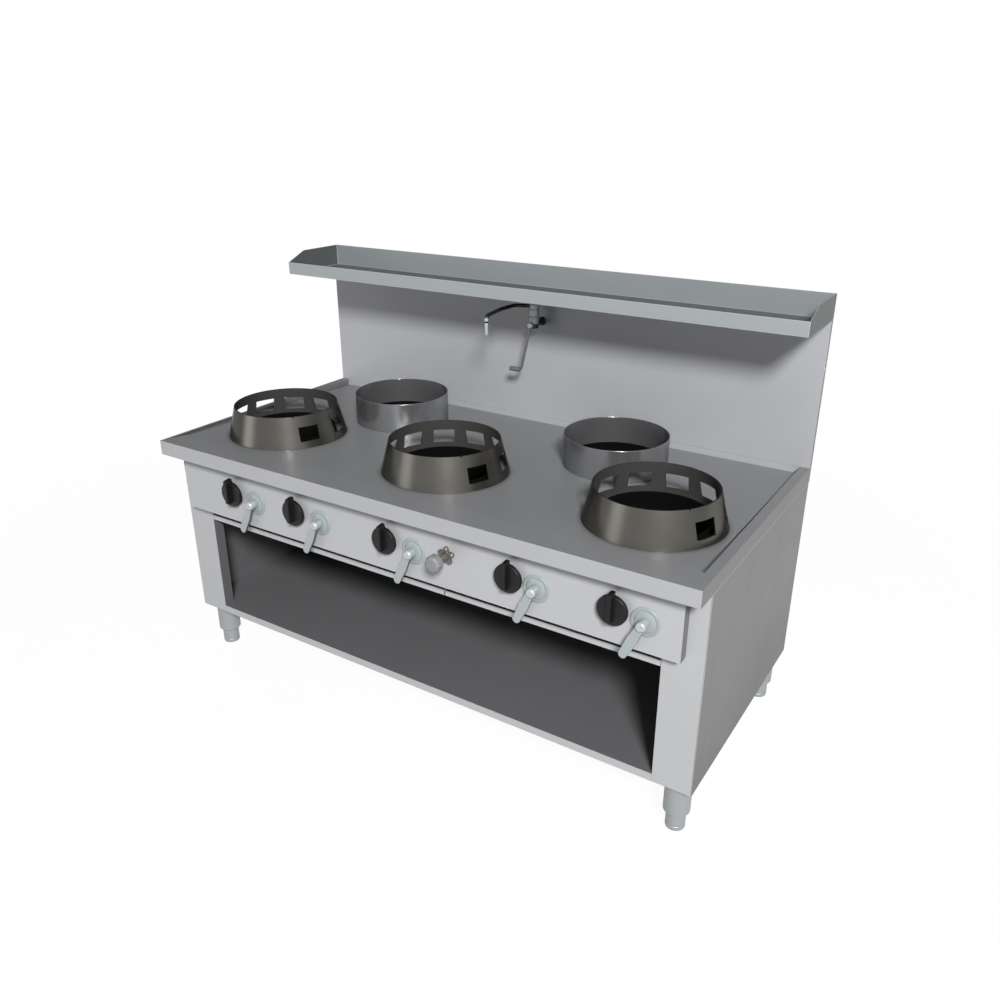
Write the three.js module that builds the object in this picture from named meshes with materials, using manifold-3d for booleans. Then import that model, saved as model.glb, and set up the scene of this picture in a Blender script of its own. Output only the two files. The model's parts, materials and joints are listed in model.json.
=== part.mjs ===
// A free-standing gas wok range in stainless steel: three wok rings in front, two pot rings behind,
// a splashback with a tray shelf, a swing tap, and an open cabinet on four adjustable feet.
// Millimetres, +Z up. The front of the range looks along -Y.
import * as THREE from 'three';
import * as BufferGeometryUtils from 'three/addons/utils/BufferGeometryUtils.js';
import Module from 'manifold-3d';

const wasm = await Module();
wasm.setup();

// ---------------------------------------------------------------------------------------------
// Driving dimensions. X is 0 on the centre line, Y is 0 at the worktop's front edge, Z is 0 on
// the floor. The whole range is moved along Y at the end, so that its origin is under its middle.
// ---------------------------------------------------------------------------------------------
const width = 1950;
const depth = 950;
const worktopHeight = 850;
const overallHeight = 1396;
const legHeight = 170;
const sheet = 2;
const fit = 0.3;

// Worktop frame and deck
const apronHeight = 50;
const apronReturn = 20;
const rimWidth = 30;
const landDepth = 90;
const ledgeWidth = 36;
const gutterGap = 8;
const deckFall = 22;
const splashThickness = 18;

// Cabinet
const bodySetback = 82;
const postWidth = 118;
const postDepth = 40;
const postLip = 20;
const shelfLipHeight = 26;
const backReturn = 20;

// Control panel
const panelProud = 36;
const panelInset = 54;
const railReturn = 36;
const railLip = 24;
const panelDrop = 200;
const panelGap = 2;

// Upper shelf
const shelfDepth = 272;
const shelfTrayHeight = 78;
const shelfLip = 43;
const endPlateRise = 84;

// Rings, wells and burners
const wokRingBaseRadius = 204;
const wokRingTopRadius = 176;
const wokRingWall = 4;
const potRingRadius = 169;
const potRingWall = 3;
const ringHeight = 108;
const windowWidth = 69;
const windowHeight = 48;
const windowSill = 24;
const windowAzimuths = [-23, 18.5, 60, 93.5, 127, 160.5, 194];
const notchAzimuth = -38;
const notchSize = 4;
const ringDrop = 10;
const wellRadius = 163;
const wellWall = 3;
const wellFlange = 22;
const flangeReach = 12;
const collarHeight = 20;
const wellDepth = 210;
const throatRadius = 26;
const openingClearance = 2;
const burnerFootRadius = 58;
const burnerNeckRadius = 30;
const burnerHeadRadius = 66;
const burnerTopRadius = 50;
const burnerHeight = 88;
const burnerHeadDepth = 30;
const burnerFlare = 12;

// Knobs and levers
const knobDrop = 94;
const leverDrop = 15;
const knobRadius = 44;
const knobStemRadius = 15;
const pointerReach = 57;
const knobFront = 24;
const skirtDepth = 14;
const gripDepth = 18;
const gripHalfWidth = 8;
const gripTail = 38;
const leverReach = 118;
const leverLean = 25;
const leverHubRadius = 15;
const leverArmThickness = 8;
const leverArmFront = 16;
const leverHubProud = 6;
const leverTipRadius = 12;
const leverRootHalf = 11;
const leverMiddleHalf = 15;
const leverMiddle = 52;
const escutcheonRadius = 42;
const escutcheonDepth = 7;
const escutcheonFlatRadius = 22;
const spindleRadius = 5;
const leverSpindleRadius = 6;
const running = 0.4;
const knobBossRadius = 11;
const leverBossRadius = 12;
const bossClearance = 2;

// Water tap on the panel and swing tap on the splashback
const waterTapX = 198;
const waterTapDrop = 88;
const waterBossRadius = 10;
const rosetteRadius = 31;
const bonnetRadius = 12;
const bonnetFront = 12;
const waterHandleRadius = 26;
const waterHandleFront = -32;
const waterHandleDepth = 30;
const waterBodyHalf = 16;
const waterBodyBack = 135;
const supplyX = 188;
const supplyY = 116;
const supplyDrop = 208;
const tapX = -8;
const tapReach = 59;
const tapBelowShelf = 38;
const tapInletDrop = 76;
const tapBodyRadius = 18;
const tapCapHeight = 24;
const tapTailRadius = 9;
const tapFlangeRadius = 26;
const spoutRadius = 6.5;
const spoutReach = 214;
const spoutOffset = 62;
const spoutElbow = 28;
const spoutKnee = 120;
const nozzleLength = 66;
const tapLeverDrop = 160;
const tapLeverOffset = 36;
const tapGripLength = 40;
const pipeRadius = 5;

// Gas pipework
const manifoldDrop = 38;
const manifoldY = 125;
const manifoldRadius = 13;
const gasMainInset = 140;
const gasMainDrop = 202;
const feedRadius = 7;
const feedBelowOutlet = 24;
const feedY = 120;
const feedBelowWell = 30;
const bracketSpots = [-480, 130, 600];
const valveBack = 146;
const valveHalf = 18;
const spindleEnd = 110;

// Drip trays
const trayDrop = 50;
const trayHeight = 18;
const traySplitX = 160;
const trayBack = 880;
const trayClearance = 1;
const runnerLedge = 24;

// Legs
const legInset = 57;
const sleeveRadius = 39;
const footRadius = 29;
const footVisible = 60;
const footStem = 90;

// One station for each burner, from left to right. Burners and knobs stand at shares of half the
// width, and each lever stands beside its knob.
const frontRow = 316;
const rearRow = 668;
const station = (ring, burnerY, burnerShare, knobShare, leverGap) => {
  const burnerX = Math.round(burnerShare * width / 2);
  const knobX = Math.round(knobShare * width / 2);
  return { ring, burnerX, burnerY, knobX, leverX: knobX + leverGap };
};
const wideGap = 102;
const narrowGap = 82;
const stations = [
  station('wok_ring_left', frontRow, -0.6995, -0.6974, wideGap - 5),
  station('pot_ring_left', rearRow, -0.4574, -0.4072, wideGap),
  station('wok_ring_centre', frontRow, 0.0021, -0.0246, wideGap - 2),
  station('pot_ring_right', rearRow, 0.4349, 0.4246, narrowGap),
  station('wok_ring_right', frontRow, 0.7313, 0.7508, narrowGap + 5),
];

// How finely round things are divided
const ringSegments = 32;
const wellSegments = 24;
const turnedSegments = 16;
const boreSegments = 12;
const pipeSides = 8;
const bendSteps = 4;

// Places that follow from the sizes above
const half = width / 2;
const gasMainX = gasMainInset - half;
const panelFront = bodySetback - panelProud;
const splashFace = depth - splashThickness;
const apronBottom = worktopHeight - apronHeight;
const panelBottom = apronBottom - panelDrop;
const trayBottom = panelBottom - trayDrop;
const wellBottom = worktopHeight - wellDepth;
const feedOutlet = wellBottom - feedBelowWell;
const feedHeight = feedOutlet - feedBelowOutlet;
const knobHeight = apronBottom - knobDrop;
const leverHeight = knobHeight - leverDrop;
const waterTapHeight = apronBottom - waterTapDrop;
const supplyHeight = apronBottom - supplyDrop;
const manifoldHeight = apronBottom - manifoldDrop;
const gasMainHeight = apronBottom - gasMainDrop;
const shelfBottom = overallHeight - shelfTrayHeight;
const tapTop = shelfBottom - tapBelowShelf;
const tapInletHeight = tapTop - tapInletDrop;
const bodyTop = apronBottom - fit;
const postInner = half - postWidth;
const rimInner = half - rimWidth;
const deckHalf = rimInner - sheet - gutterGap;
const deckFront = landDepth + fit;
const deckBack = splashFace - sheet - fit;
const railFace = bodySetback + sheet;
const backFace = depth - 4.3;
const shelfFront = depth - shelfDepth;
const faucetY = splashFace - tapReach;
const tapCapBottom = tapTop - tapCapHeight;
const waterPipeRise = splashFace + sheet + fit + 1 + pipeRadius;
const valveFront = railFace + sheet + 6;
const leverHubBack = panelFront - escutcheonDepth - 2 * fit;
const legX = half - legInset;
const legYs = [bodySetback + legInset, depth - legInset];
const legs = [
  { name: 'front_left', x: -legX, y: legYs[0] },
  { name: 'front_right', x: legX, y: legYs[0] },
  { name: 'rear_left', x: -legX, y: legYs[1] },
  { name: 'rear_right', x: legX, y: legYs[1] },
];

// How far a cutting block reaches past the surface that it cuts
const past = 10;

// Height of the deck's upper surface, which falls towards the splashback.
function deckZ(y) {
  return worktopHeight - deckFall * (y - landDepth) / (splashFace - landDepth);
}

// ---------------------------------------------------------------------------------------------
// Finishes
// ---------------------------------------------------------------------------------------------
function finish(hex, roughness, metalness) {
  return () => new THREE.MeshStandardMaterial({ color: hex, roughness, metalness });
}

const brushedSteel = finish(0xb9babc, 0.38, 1.0);
const deckSteel = finish(0x8f9194, 0.42, 1.0);
const polishedSteel = finish(0xc9cccd, 0.2, 1.0);
const ringIron = finish(0x6a6862, 0.5, 0.9);
const castIron = finish(0x2b2a29, 0.75, 0.6);
const blackPlastic = finish(0x232324, 0.45, 0.0);
const brass = finish(0x9c8350, 0.4, 1.0);
const pipeSteel = finish(0x77797b, 0.45, 1.0);
const bronzeGrey = finish(0x7d7771, 0.5, 0.7);

// ---------------------------------------------------------------------------------------------
// Solids. Every helper returns a closed solid that can be joined and cut.
// ---------------------------------------------------------------------------------------------
function toSolid(geometry) {
  const plain = geometry.clone();
  plain.deleteAttribute('normal');
  plain.deleteAttribute('uv');
  const merged = BufferGeometryUtils.mergeVertices(plain, 1e-3);
  const position = merged.getAttribute('position');
  const index = merged.getIndex().array;
  const corner = [new THREE.Vector3(), new THREE.Vector3(), new THREE.Vector3()];
  const triangles = [];
  let volume = 0;
  for (let i = 0; i < index.length; i += 3) {
    const [a, b, c] = [index[i], index[i + 1], index[i + 2]];
    if (a === b || b === c || c === a) continue;
    triangles.push(a, b, c);
    [a, b, c].forEach((vertex, k) => corner[k].fromBufferAttribute(position, vertex));
    volume += corner[0].dot(corner[1].clone().cross(corner[2]));
  }
  if (volume < 0) triangles.reverse();
  return new wasm.Manifold(new wasm.Mesh({
    numProp: 3,
    vertProperties: new Float32Array(position.array),
    triVerts: new Uint32Array(triangles),
  }));
}

function toGeometry(solid) {
  const mesh = solid.getMesh();
  const geometry = new THREE.BufferGeometry();
  geometry.setAttribute('position', new THREE.BufferAttribute(mesh.vertProperties, 3));
  geometry.setIndex(new THREE.BufferAttribute(mesh.triVerts, 1));
  geometry.computeVertexNormals();
  return geometry;
}

function join(first, ...others) {
  return others.reduce((total, solid) => total.add(solid), first);
}

function cut(first, ...others) {
  return others.reduce((total, solid) => total.subtract(solid), first);
}

// The same geometry with every corner moved to the place that `place` gives for it, so that faces
// which meet share exactly the same coordinates.
function placed(geometry, place) {
  const position = geometry.getAttribute('position');
  const corner = new THREE.Vector3();
  for (let i = 0; i < position.count; i += 1) {
    position.setXYZ(i, ...place(corner.fromBufferAttribute(position, i)));
  }
  return geometry;
}

function box([x0, x1], [y0, y1], [z0, z1]) {
  return toSolid(placed(new THREE.BoxGeometry(), ({ x, y, z }) => [
    x < 0 ? x0 : x1, y < 0 ? y0 : y1, z < 0 ? z0 : z1,
  ]));
}

// A flat outline given as [y, z] points, carried along X.
function prismX(points, [x0, x1]) {
  const shape = new THREE.Shape(points.map(([y, z]) => new THREE.Vector2(y, z)));
  const geometry = new THREE.ExtrudeGeometry(shape, { depth: 1, bevelEnabled: false });
  return toSolid(placed(geometry, ({ x, y, z }) => [z < 0.5 ? x0 : x1, x, y]));
}

// A flat outline given as a Shape in X and Z, carried along Y from its front to its back.
function prismY(shape, [y0, y1]) {
  const geometry = new THREE.ExtrudeGeometry(shape, {
    depth: 1, bevelEnabled: false, curveSegments: 5,
  });
  return toSolid(placed(geometry, ({ x, y, z }) => [x, z < 0.5 ? y0 : y1, y]));
}

// A flat outline given as [x, y] points, carried up along Z.
function prismZ(points, [z0, z1]) {
  const shape = new THREE.Shape(points.map(([x, y]) => new THREE.Vector2(x, y)));
  const geometry = new THREE.ExtrudeGeometry(shape, { depth: 1, bevelEnabled: false });
  return toSolid(placed(geometry, ({ x, y, z }) => [x, y, z < 0.5 ? z0 : z1]));
}

// A profile of [radius, height] points turned about a vertical axis.
function turned(profile, segments, x = 0, y = 0, z = 0) {
  const points = profile.map(([radius, height]) => new THREE.Vector2(radius, height));
  const geometry = new THREE.LatheGeometry([...points, points[0].clone()], segments);
  geometry.rotateX(Math.PI / 2);
  geometry.translate(x, y, z);
  return toSolid(geometry);
}

// A profile of [radius, y] points turned about an axis along Y.
function turnedY(profile, segments, x, z) {
  const points = profile.map(([radius, y]) => new THREE.Vector2(radius, y));
  const geometry = new THREE.LatheGeometry([...points, points[0].clone()], segments);
  geometry.translate(x, 0, z);
  return toSolid(geometry);
}

function rod(radius, [z0, z1], segments, x, y) {
  return turned([[0, z0], [radius, z0], [radius, z1], [0, z1]], segments, x, y);
}

function rodY(radius, [y0, y1], segments, x, z) {
  return turnedY([[0, y0], [radius, y0], [radius, y1], [0, y1]], segments, x, z);
}

function rodX(radius, [x0, x1], segments, y, z) {
  const geometry = new THREE.CylinderGeometry(radius, radius, x1 - x0, segments);
  geometry.rotateZ(Math.PI / 2);
  geometry.translate((x0 + x1) / 2, y, z);
  return toSolid(geometry);
}

// The corners of a run, with each inner corner rounded over the length `bend`.
function roundedPath(corners, bend) {
  const knots = corners.map((corner) => new THREE.Vector3(...corner));
  const path = [knots[0]];
  for (let i = 1; i < knots.length - 1; i += 1) {
    const enter = knots[i].clone().sub(knots[i].clone().sub(knots[i - 1]).setLength(bend));
    const leave = knots[i].clone().add(knots[i + 1].clone().sub(knots[i]).setLength(bend));
    const curve = new THREE.QuadraticBezierCurve3(enter, knots[i], leave);
    path.push(...curve.getPoints(bendSteps));
  }
  path.push(knots.at(-1));
  return path;
}

// A round bar or pipe along straight runs with rounded bends. Each ring of its skin lies in the
// plane that halves the angle between its two neighbours.
function bentPipe(corners, radius, bend, sides) {
  const path = roundedPath(corners, bend);
  const run = path.slice(1).map((point, i) => point.clone().sub(path[i]).normalize());
  const across = new THREE.Vector3(0.3, 0.5, 0.8).cross(run[0]).normalize();
  const around = run[0].clone().cross(across);
  let ring = Array.from({ length: sides }, (_, i) => {
    const angle = 2 * Math.PI * i / sides;
    return path[0].clone()
      .addScaledVector(across, radius * Math.cos(angle))
      .addScaledVector(around, radius * Math.sin(angle));
  });
  const vertices = [...ring];
  for (let i = 1; i < path.length; i += 1) {
    const plane = run[i - 1].clone().add(run[i] ?? run[i - 1]);
    ring = ring.map((corner) => corner.clone().addScaledVector(
      run[i - 1], path[i].clone().sub(corner).dot(plane) / run[i - 1].dot(plane)));
    vertices.push(...ring);
  }
  const triangles = [];
  const last = vertices.length - sides;
  for (let i = 0; i < last; i += 1) {
    const next = i % sides === sides - 1 ? i + 1 - sides : i + 1;
    triangles.push(i, next, next + sides, i, next + sides, i + sides);
  }
  for (let i = 1; i < sides - 1; i += 1) {
    triangles.push(0, i + 1, i, last, last + i, last + i + 1);
  }
  const geometry = new THREE.BufferGeometry().setFromPoints(vertices);
  geometry.setIndex(triangles);
  return toSolid(geometry);
}

// ---------------------------------------------------------------------------------------------
// The scene graph
// ---------------------------------------------------------------------------------------------
const range = new THREE.Group();
const parts = new THREE.Group();
parts.position.y = -(depth + waterHandleFront) / 2;
range.add(parts);

function part(name, solid, material) {
  const mesh = new THREE.Mesh(toGeometry(solid), material());
  mesh.name = name;
  parts.add(mesh);
}

// ---------------------------------------------------------------------------------------------
// Worktop: a frame of folded channels with an apron, and a deck that falls inside it
// ---------------------------------------------------------------------------------------------
function worktopFrame() {
  const top = worktopHeight;
  const outer = box([-half, half], [0, depth], [apronBottom, top]);
  const underside = box(
    [-half + sheet, half - sheet], [sheet, depth - sheet], [apronBottom - sheet, top - sheet]);
  const aprons = cut(outer, underside);
  const opening = box([-rimInner, rimInner], [landDepth, splashFace], [apronBottom - 1, top + 1]);
  const lining = box(
    [-rimInner - sheet, rimInner + sheet], [landDepth - sheet, splashFace + sheet],
    [apronBottom, top]);
  const ledge = box([-rimInner, rimInner], [landDepth, splashFace], [apronBottom, apronBottom + sheet]);
  const inside = box(
    [-rimInner + ledgeWidth, rimInner - ledgeWidth],
    [landDepth + ledgeWidth, splashFace - ledgeWidth],
    [apronBottom - 1, top]);
  const frontReturn = box([-half, half], [0, apronReturn], [apronBottom, apronBottom + sheet]);
  const pipeHole = rod(
    pipeRadius + 2, [top - past, top + past], boreSegments, waterTapX, waterPipeRise);
  const frame = join(cut(join(aprons, lining), opening), cut(ledge, inside), frontReturn);
  return cut(frame, pipeHole);
}

function deckPlate() {
  const ledgeTop = apronBottom + sheet + fit;
  const block = prismX([
    [deckFront, ledgeTop], [deckFront, deckZ(deckFront)],
    [deckBack, deckZ(deckBack)], [deckBack, ledgeTop],
  ], [-deckHalf, deckHalf]);
  const hollow = prismX([
    [deckFront + sheet, ledgeTop - 1], [deckFront + sheet, deckZ(deckFront) - sheet],
    [deckBack - sheet, deckZ(deckBack) - sheet], [deckBack - sheet, ledgeTop - 1],
  ], [-deckHalf + sheet, deckHalf - sheet]);
  const openings = stations.map(({ burnerX, burnerY }) => rod(
    wellRadius + openingClearance, [deckZ(burnerY) - 2 * past, deckZ(burnerY) + 2 * past], wellSegments,
    burnerX, burnerY));
  return cut(block, hollow, ...openings);
}

// ---------------------------------------------------------------------------------------------
// Splashback and upper shelf
// ---------------------------------------------------------------------------------------------
function splashback() {
  const bottom = worktopHeight + fit;
  const top = shelfBottom - fit;
  const block = box([-half, half], [splashFace, depth], [bottom, top]);
  const hollow = box(
    [-half + sheet, half - sheet], [splashFace + sheet, depth + 1], [bottom + sheet, top - sheet]);
  const pipeHole = rod(
    pipeRadius + 2, [bottom - past, bottom + past], boreSegments, waterTapX, waterPipeRise);
  const tapHole = rodY(
    tapTailRadius + 1, [splashFace - past, splashFace + past], boreSegments, tapX, tapInletHeight);
  return cut(block, hollow, pipeHole, tapHole);
}

function upperShelf() {
  const block = prismX([
    [shelfFront, shelfBottom], [shelfFront, shelfBottom + shelfLip],
    [shelfFront + endPlateRise, overallHeight], [depth, overallHeight], [depth, shelfBottom],
  ], [-half, half]);
  const hollow = box(
    [-half + sheet, half - sheet], [shelfFront + sheet, depth - sheet],
    [shelfBottom + sheet, overallHeight + 1]);
  return cut(block, hollow);
}

// ---------------------------------------------------------------------------------------------
// Cabinet: side panels, front posts, back and bottom shelf
// ---------------------------------------------------------------------------------------------
// A sheet folded inwards along its rear edge, where the back is fixed to it.
function sidePanel(side) {
  const outer = side * half;
  const inner = side * (half - sheet);
  const edge = side * (half - backReturn);
  const returnBack = backFace - fit;
  return prismZ([
    [outer, bodySetback], [outer, returnBack], [edge, returnBack],
    [edge, returnBack - sheet], [inner, returnBack - sheet], [inner, bodySetback],
  ], [legHeight, bodyTop]);
}

// A sheet folded back beside the cabinet's opening, with a short lip behind.
function frontPost(side) {
  const outer = side * (half - sheet - fit);
  const edge = side * postInner;
  const web = side * (postInner + sheet);
  const lip = side * (postInner + postLip);
  const front = bodySetback;
  const back = bodySetback + postDepth;
  return prismZ([
    [outer, front], [outer, front + sheet], [web, front + sheet], [web, back - sheet],
    [lip, back - sheet], [lip, back], [edge, back], [edge, front],
  ], [legHeight, bodyTop]);
}

function cabinetBack() {
  const innerHalf = half - sheet - fit;
  const panel = box([-innerHalf, innerHalf], [backFace, backFace + sheet], [legHeight, bodyTop]);
  const through = [backFace - past, backFace + past];
  const gasHole = rodY(manifoldRadius + 3, through, boreSegments, gasMainX, gasMainHeight);
  const waterHole = rodY(pipeRadius + 3, through, boreSegments, supplyX, supplyHeight);
  return cut(panel, gasHole, waterHole);
}

// The shelf is a tray turned down at its edges, with the four leg sleeves welded under it.
function bottomShelf() {
  const innerHalf = half - sheet - fit;
  const betweenPosts = postInner - fit;
  const height = [legHeight, legHeight + shelfLipHeight];
  const under = [legHeight - 1, legHeight + shelfLipHeight - sheet];
  const behindPosts = bodySetback + postDepth + fit;
  const rear = backFace - sheet - 2 * fit;
  const block = join(
    box([-innerHalf, innerHalf], [behindPosts, rear], height),
    box([-betweenPosts, betweenPosts], [bodySetback, behindPosts + 1], height));
  const hollow = join(
    box([-innerHalf + sheet, innerHalf - sheet], [behindPosts - 1, rear - sheet], under),
    box([-betweenPosts - 1, betweenPosts + 1], [bodySetback + sheet, behindPosts + 1], under));
  return join(cut(block, hollow), ...legs.map(legSleeve));
}

// ---------------------------------------------------------------------------------------------
// Control panel, and the rail behind it that carries the valves
// ---------------------------------------------------------------------------------------------
// The holes that the bosses of the valves and of the water tap pass through
function bossHoles(span) {
  const hole = (radius, x, z) => rodY(radius + bossClearance, span, boreSegments, x, z);
  return [
    ...stations.map(({ knobX }) => hole(knobBossRadius, knobX, knobHeight)),
    ...stations.map(({ leverX }) => hole(leverBossRadius, leverX, leverHeight)),
    hole(waterBossRadius, waterTapX, waterTapHeight),
  ];
}

function controlPanel() {
  const edge = half - panelInset;
  const back = bodySetback - fit;
  const top = apronBottom - panelGap;
  const block = box([-edge, edge], [panelFront, back], [panelBottom, top]);
  const hollow = box(
    [-edge + sheet, edge - sheet], [panelFront + sheet, back + 1],
    [panelBottom + sheet, top - sheet]);
  return cut(cut(block, hollow), ...bossHoles([panelFront - past, panelFront + past]));
}

function frontRail() {
  const end = postInner - fit;
  const profile = [
    [railFace, panelBottom], [railFace, bodyTop], [railFace + railReturn, bodyTop],
    [railFace + railReturn, bodyTop - sheet], [railFace + sheet, bodyTop - sheet],
    [railFace + sheet, panelBottom + sheet], [railFace + railLip, panelBottom + sheet],
    [railFace + railLip, panelBottom],
  ];
  return cut(prismX(profile, [-end, end]), ...bossHoles([railFace - past, railFace + past]));
}

// ---------------------------------------------------------------------------------------------
// Drip trays and their runners
// ---------------------------------------------------------------------------------------------
function dripTray([x0, x1]) {
  const top = trayBottom + trayHeight;
  const block = box([x0, x1], [bodySetback, trayBack], [trayBottom, top]);
  const hollow = box(
    [x0 + sheet, x1 - sheet], [bodySetback + sheet, trayBack - sheet],
    [trayBottom + sheet, top + 1]);
  return cut(block, hollow);
}

// Two side runners and a centre runner on one cross bar at the rear. The trays slide on their
// ledges, the side runners reach out to the side panels and the centre one hangs from the rail.
function trayRunners() {
  const ledgeTop = trayBottom - fit;
  const ledgeBottom = ledgeTop - sheet;
  const armTop = trayBottom + trayHeight + 7;
  const hanger = panelBottom - fit;
  const front = bodySetback + postDepth + fit;
  const rear = backFace - sheet - 2 * fit;
  const spread = 8;
  const outline = (points) => new THREE.Shape(points.map(([x, z]) => new THREE.Vector2(x, z)));
  const sides = [-1, 1].map((side) => {
    const wall = side * (half - sheet - fit);
    const web = side * postInner;
    const ledge = side * (postInner - runnerLedge);
    return prismY(outline([
      [wall, armTop], [web, armTop], [web, ledgeTop], [ledge, ledgeTop], [ledge, ledgeBottom],
      [web + side * sheet, ledgeBottom], [web + side * sheet, armTop - sheet],
      [wall, armTop - sheet],
    ]), [front, rear - sheet / 2]);
  });
  const [webLeft, webRight] = [traySplitX - sheet / 2, traySplitX + sheet / 2];
  const centre = prismY(outline([
    [webLeft, hanger], [webLeft, ledgeTop], [webLeft - runnerLedge, ledgeTop],
    [webLeft - runnerLedge, ledgeBottom], [webRight + runnerLedge, ledgeBottom],
    [webRight + runnerLedge, ledgeTop], [webRight, ledgeTop], [webRight, hanger],
  ]), [railFace + sheet, rear - sheet / 2]);
  const crossBar = box(
    [-postInner - spread, postInner + spread], [rear - sheet, rear],
    [ledgeBottom - spread, armTop + spread]);
  return join(crossBar, centre, ...sides);
}

// ---------------------------------------------------------------------------------------------
// Rings, wells and burners
// ---------------------------------------------------------------------------------------------
// Everything below the deck's surface near a ring, so that a ring's base follows the fall.
function belowDeck(gap) {
  const low = wellBottom;
  const outline = [
    [landDepth, low], [landDepth, deckZ(landDepth) + gap],
    [splashFace, deckZ(splashFace) + gap], [splashFace, low],
  ];
  return prismX(outline, [-half, half]);
}

function wokRing({ burnerX, burnerY }) {
  const base = deckZ(burnerY);
  const top = base + ringHeight;
  const slope = (wokRingBaseRadius - wokRingTopRadius) / ringHeight;
  const skirt = wokRingBaseRadius + slope * ringDrop;
  const cone = turned([
    [skirt, base - ringDrop], [wokRingTopRadius, top],
    [wokRingTopRadius - wokRingWall, top], [skirt - wokRingWall, base - ringDrop],
  ], ringSegments, burnerX, burnerY);
  const windows = windowAzimuths.map((azimuth) => {
    const geometry = new THREE.BoxGeometry(wokRingTopRadius / 2, windowWidth, windowHeight);
    geometry.translate(wokRingTopRadius, 0, base + windowSill + windowHeight / 2);
    geometry.rotateZ(THREE.MathUtils.degToRad(azimuth));
    geometry.translate(burnerX, burnerY, 0);
    return toSolid(geometry);
  });
  const notchGeometry = new THREE.BoxGeometry(2 * past, notchSize, 2 * notchSize);
  notchGeometry.translate(wokRingTopRadius, 0, top);
  notchGeometry.rotateZ(THREE.MathUtils.degToRad(notchAzimuth));
  notchGeometry.translate(burnerX, burnerY, 0);
  return cut(cone, belowDeck(fit), ...windows, toSolid(notchGeometry));
}

function potRing({ burnerX, burnerY }) {
  const base = deckZ(burnerY);
  const top = base + ringHeight;
  const tube = turned([
    [potRingRadius, base - ringDrop], [potRingRadius, top],
    [potRingRadius - potRingWall, top], [potRingRadius - potRingWall, base - ringDrop],
  ], ringSegments, burnerX, burnerY);
  return cut(tube, belowDeck(fit));
}

function burnerWell({ burnerX, burnerY }) {
  const deck = deckZ(burnerY);
  const inner = wellRadius - wellWall;
  const can = turned([
    [throatRadius + 1, wellBottom], [wellRadius, wellBottom], [wellRadius, deck + collarHeight],
    [inner, deck + collarHeight], [inner, wellBottom + wellWall],
    [throatRadius + 1, wellBottom + wellWall],
  ], wellSegments, burnerX, burnerY);
  const flange = turned([
    [inner + 1, deck - flangeReach - 4], [wellRadius + wellFlange, deck - flangeReach],
    [wellRadius + wellFlange, deck + flangeReach], [inner + 1, deck + flangeReach],
  ], wellSegments, burnerX, burnerY);
  const abovePlate = prismX([
    [landDepth, deckZ(landDepth) - sheet - fit], [splashFace, deckZ(splashFace) - sheet - fit],
    [splashFace, worktopHeight + ringHeight], [landDepth, worktopHeight + ringHeight],
  ], [-half, half]);
  return join(can, cut(flange, abovePlate));
}

function burner({ burnerX, burnerY }) {
  const seat = wellBottom + wellWall + fit;
  return turned([
    [0, feedOutlet], [throatRadius - 4, feedOutlet], [throatRadius - 2, seat],
    [burnerFootRadius, seat], [burnerFootRadius, seat + 8], [burnerNeckRadius, seat + 12],
    [burnerNeckRadius, seat + burnerHeight - burnerHeadDepth - burnerFlare],
    [burnerHeadRadius, seat + burnerHeight - burnerHeadDepth],
    [burnerHeadRadius, seat + burnerHeight - 8], [burnerTopRadius, seat + burnerHeight],
    [0, seat + burnerHeight],
  ], turnedSegments, burnerX, burnerY);
}

// ---------------------------------------------------------------------------------------------
// Gas: manifold, valves with their feed pipes, knobs and levers
// ---------------------------------------------------------------------------------------------
function gasManifold() {
  const pipe = bentPipe([
    [15 - gasMainX, manifoldY, manifoldHeight], [gasMainX, manifoldY, manifoldHeight],
    [gasMainX, manifoldY, gasMainHeight], [gasMainX, depth - 0.5, gasMainHeight],
  ], manifoldRadius, 30, boreSegments);
  const brackets = bracketSpots.map((x) => box(
    [x - 12, x + 12], [railFace + sheet + fit, manifoldY], [manifoldHeight - 7, manifoldHeight + 7]));
  return join(pipe, ...brackets);
}

// The tap behind a knob and the lever's own valve are one casting with a branch up to the manifold
// and a feed pipe down to the burner.
function gasValve({ knobX, leverX, burnerX, burnerY }) {
  const tapBody = box(
    [knobX - valveHalf, knobX + valveHalf], [valveFront, valveBack],
    [leverHeight - leverDrop / 3, knobHeight + valveHalf]);
  const bossSpan = [railFace - 4, valveFront + 2];
  const boreSpan = [railFace - 6, spindleEnd + fit];
  const tapBoss = rodY(knobBossRadius, bossSpan, boreSegments, knobX, knobHeight);
  const leverBody = rodY(
    valveHalf + 2, [valveFront, valveBack], boreSegments, leverX, leverHeight);
  const leverBoss = rodY(leverBossRadius, bossSpan, boreSegments, leverX, leverHeight);
  const link = rodX(feedRadius, [knobX, leverX], pipeSides, feedY, leverHeight + leverDrop / 3);
  const branch = rod(
    feedRadius + 1, [leverHeight, manifoldHeight - manifoldRadius - fit], pipeSides, leverX,
    manifoldY);
  const feed = bentPipe([
    [leverX, feedY, leverHeight], [leverX, feedY, feedHeight], [burnerX, burnerY, feedHeight],
    [burnerX, burnerY, feedOutlet - fit],
  ], feedRadius, 18, pipeSides);
  const knobBore = rodY(spindleRadius + running, boreSpan, boreSegments, knobX, knobHeight);
  const leverBore = rodY(
    leverSpindleRadius + running, boreSpan, boreSegments, leverX, leverHeight);
  return cut(join(tapBody, tapBoss, leverBody, leverBoss, link, branch, feed), knobBore, leverBore);
}

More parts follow.
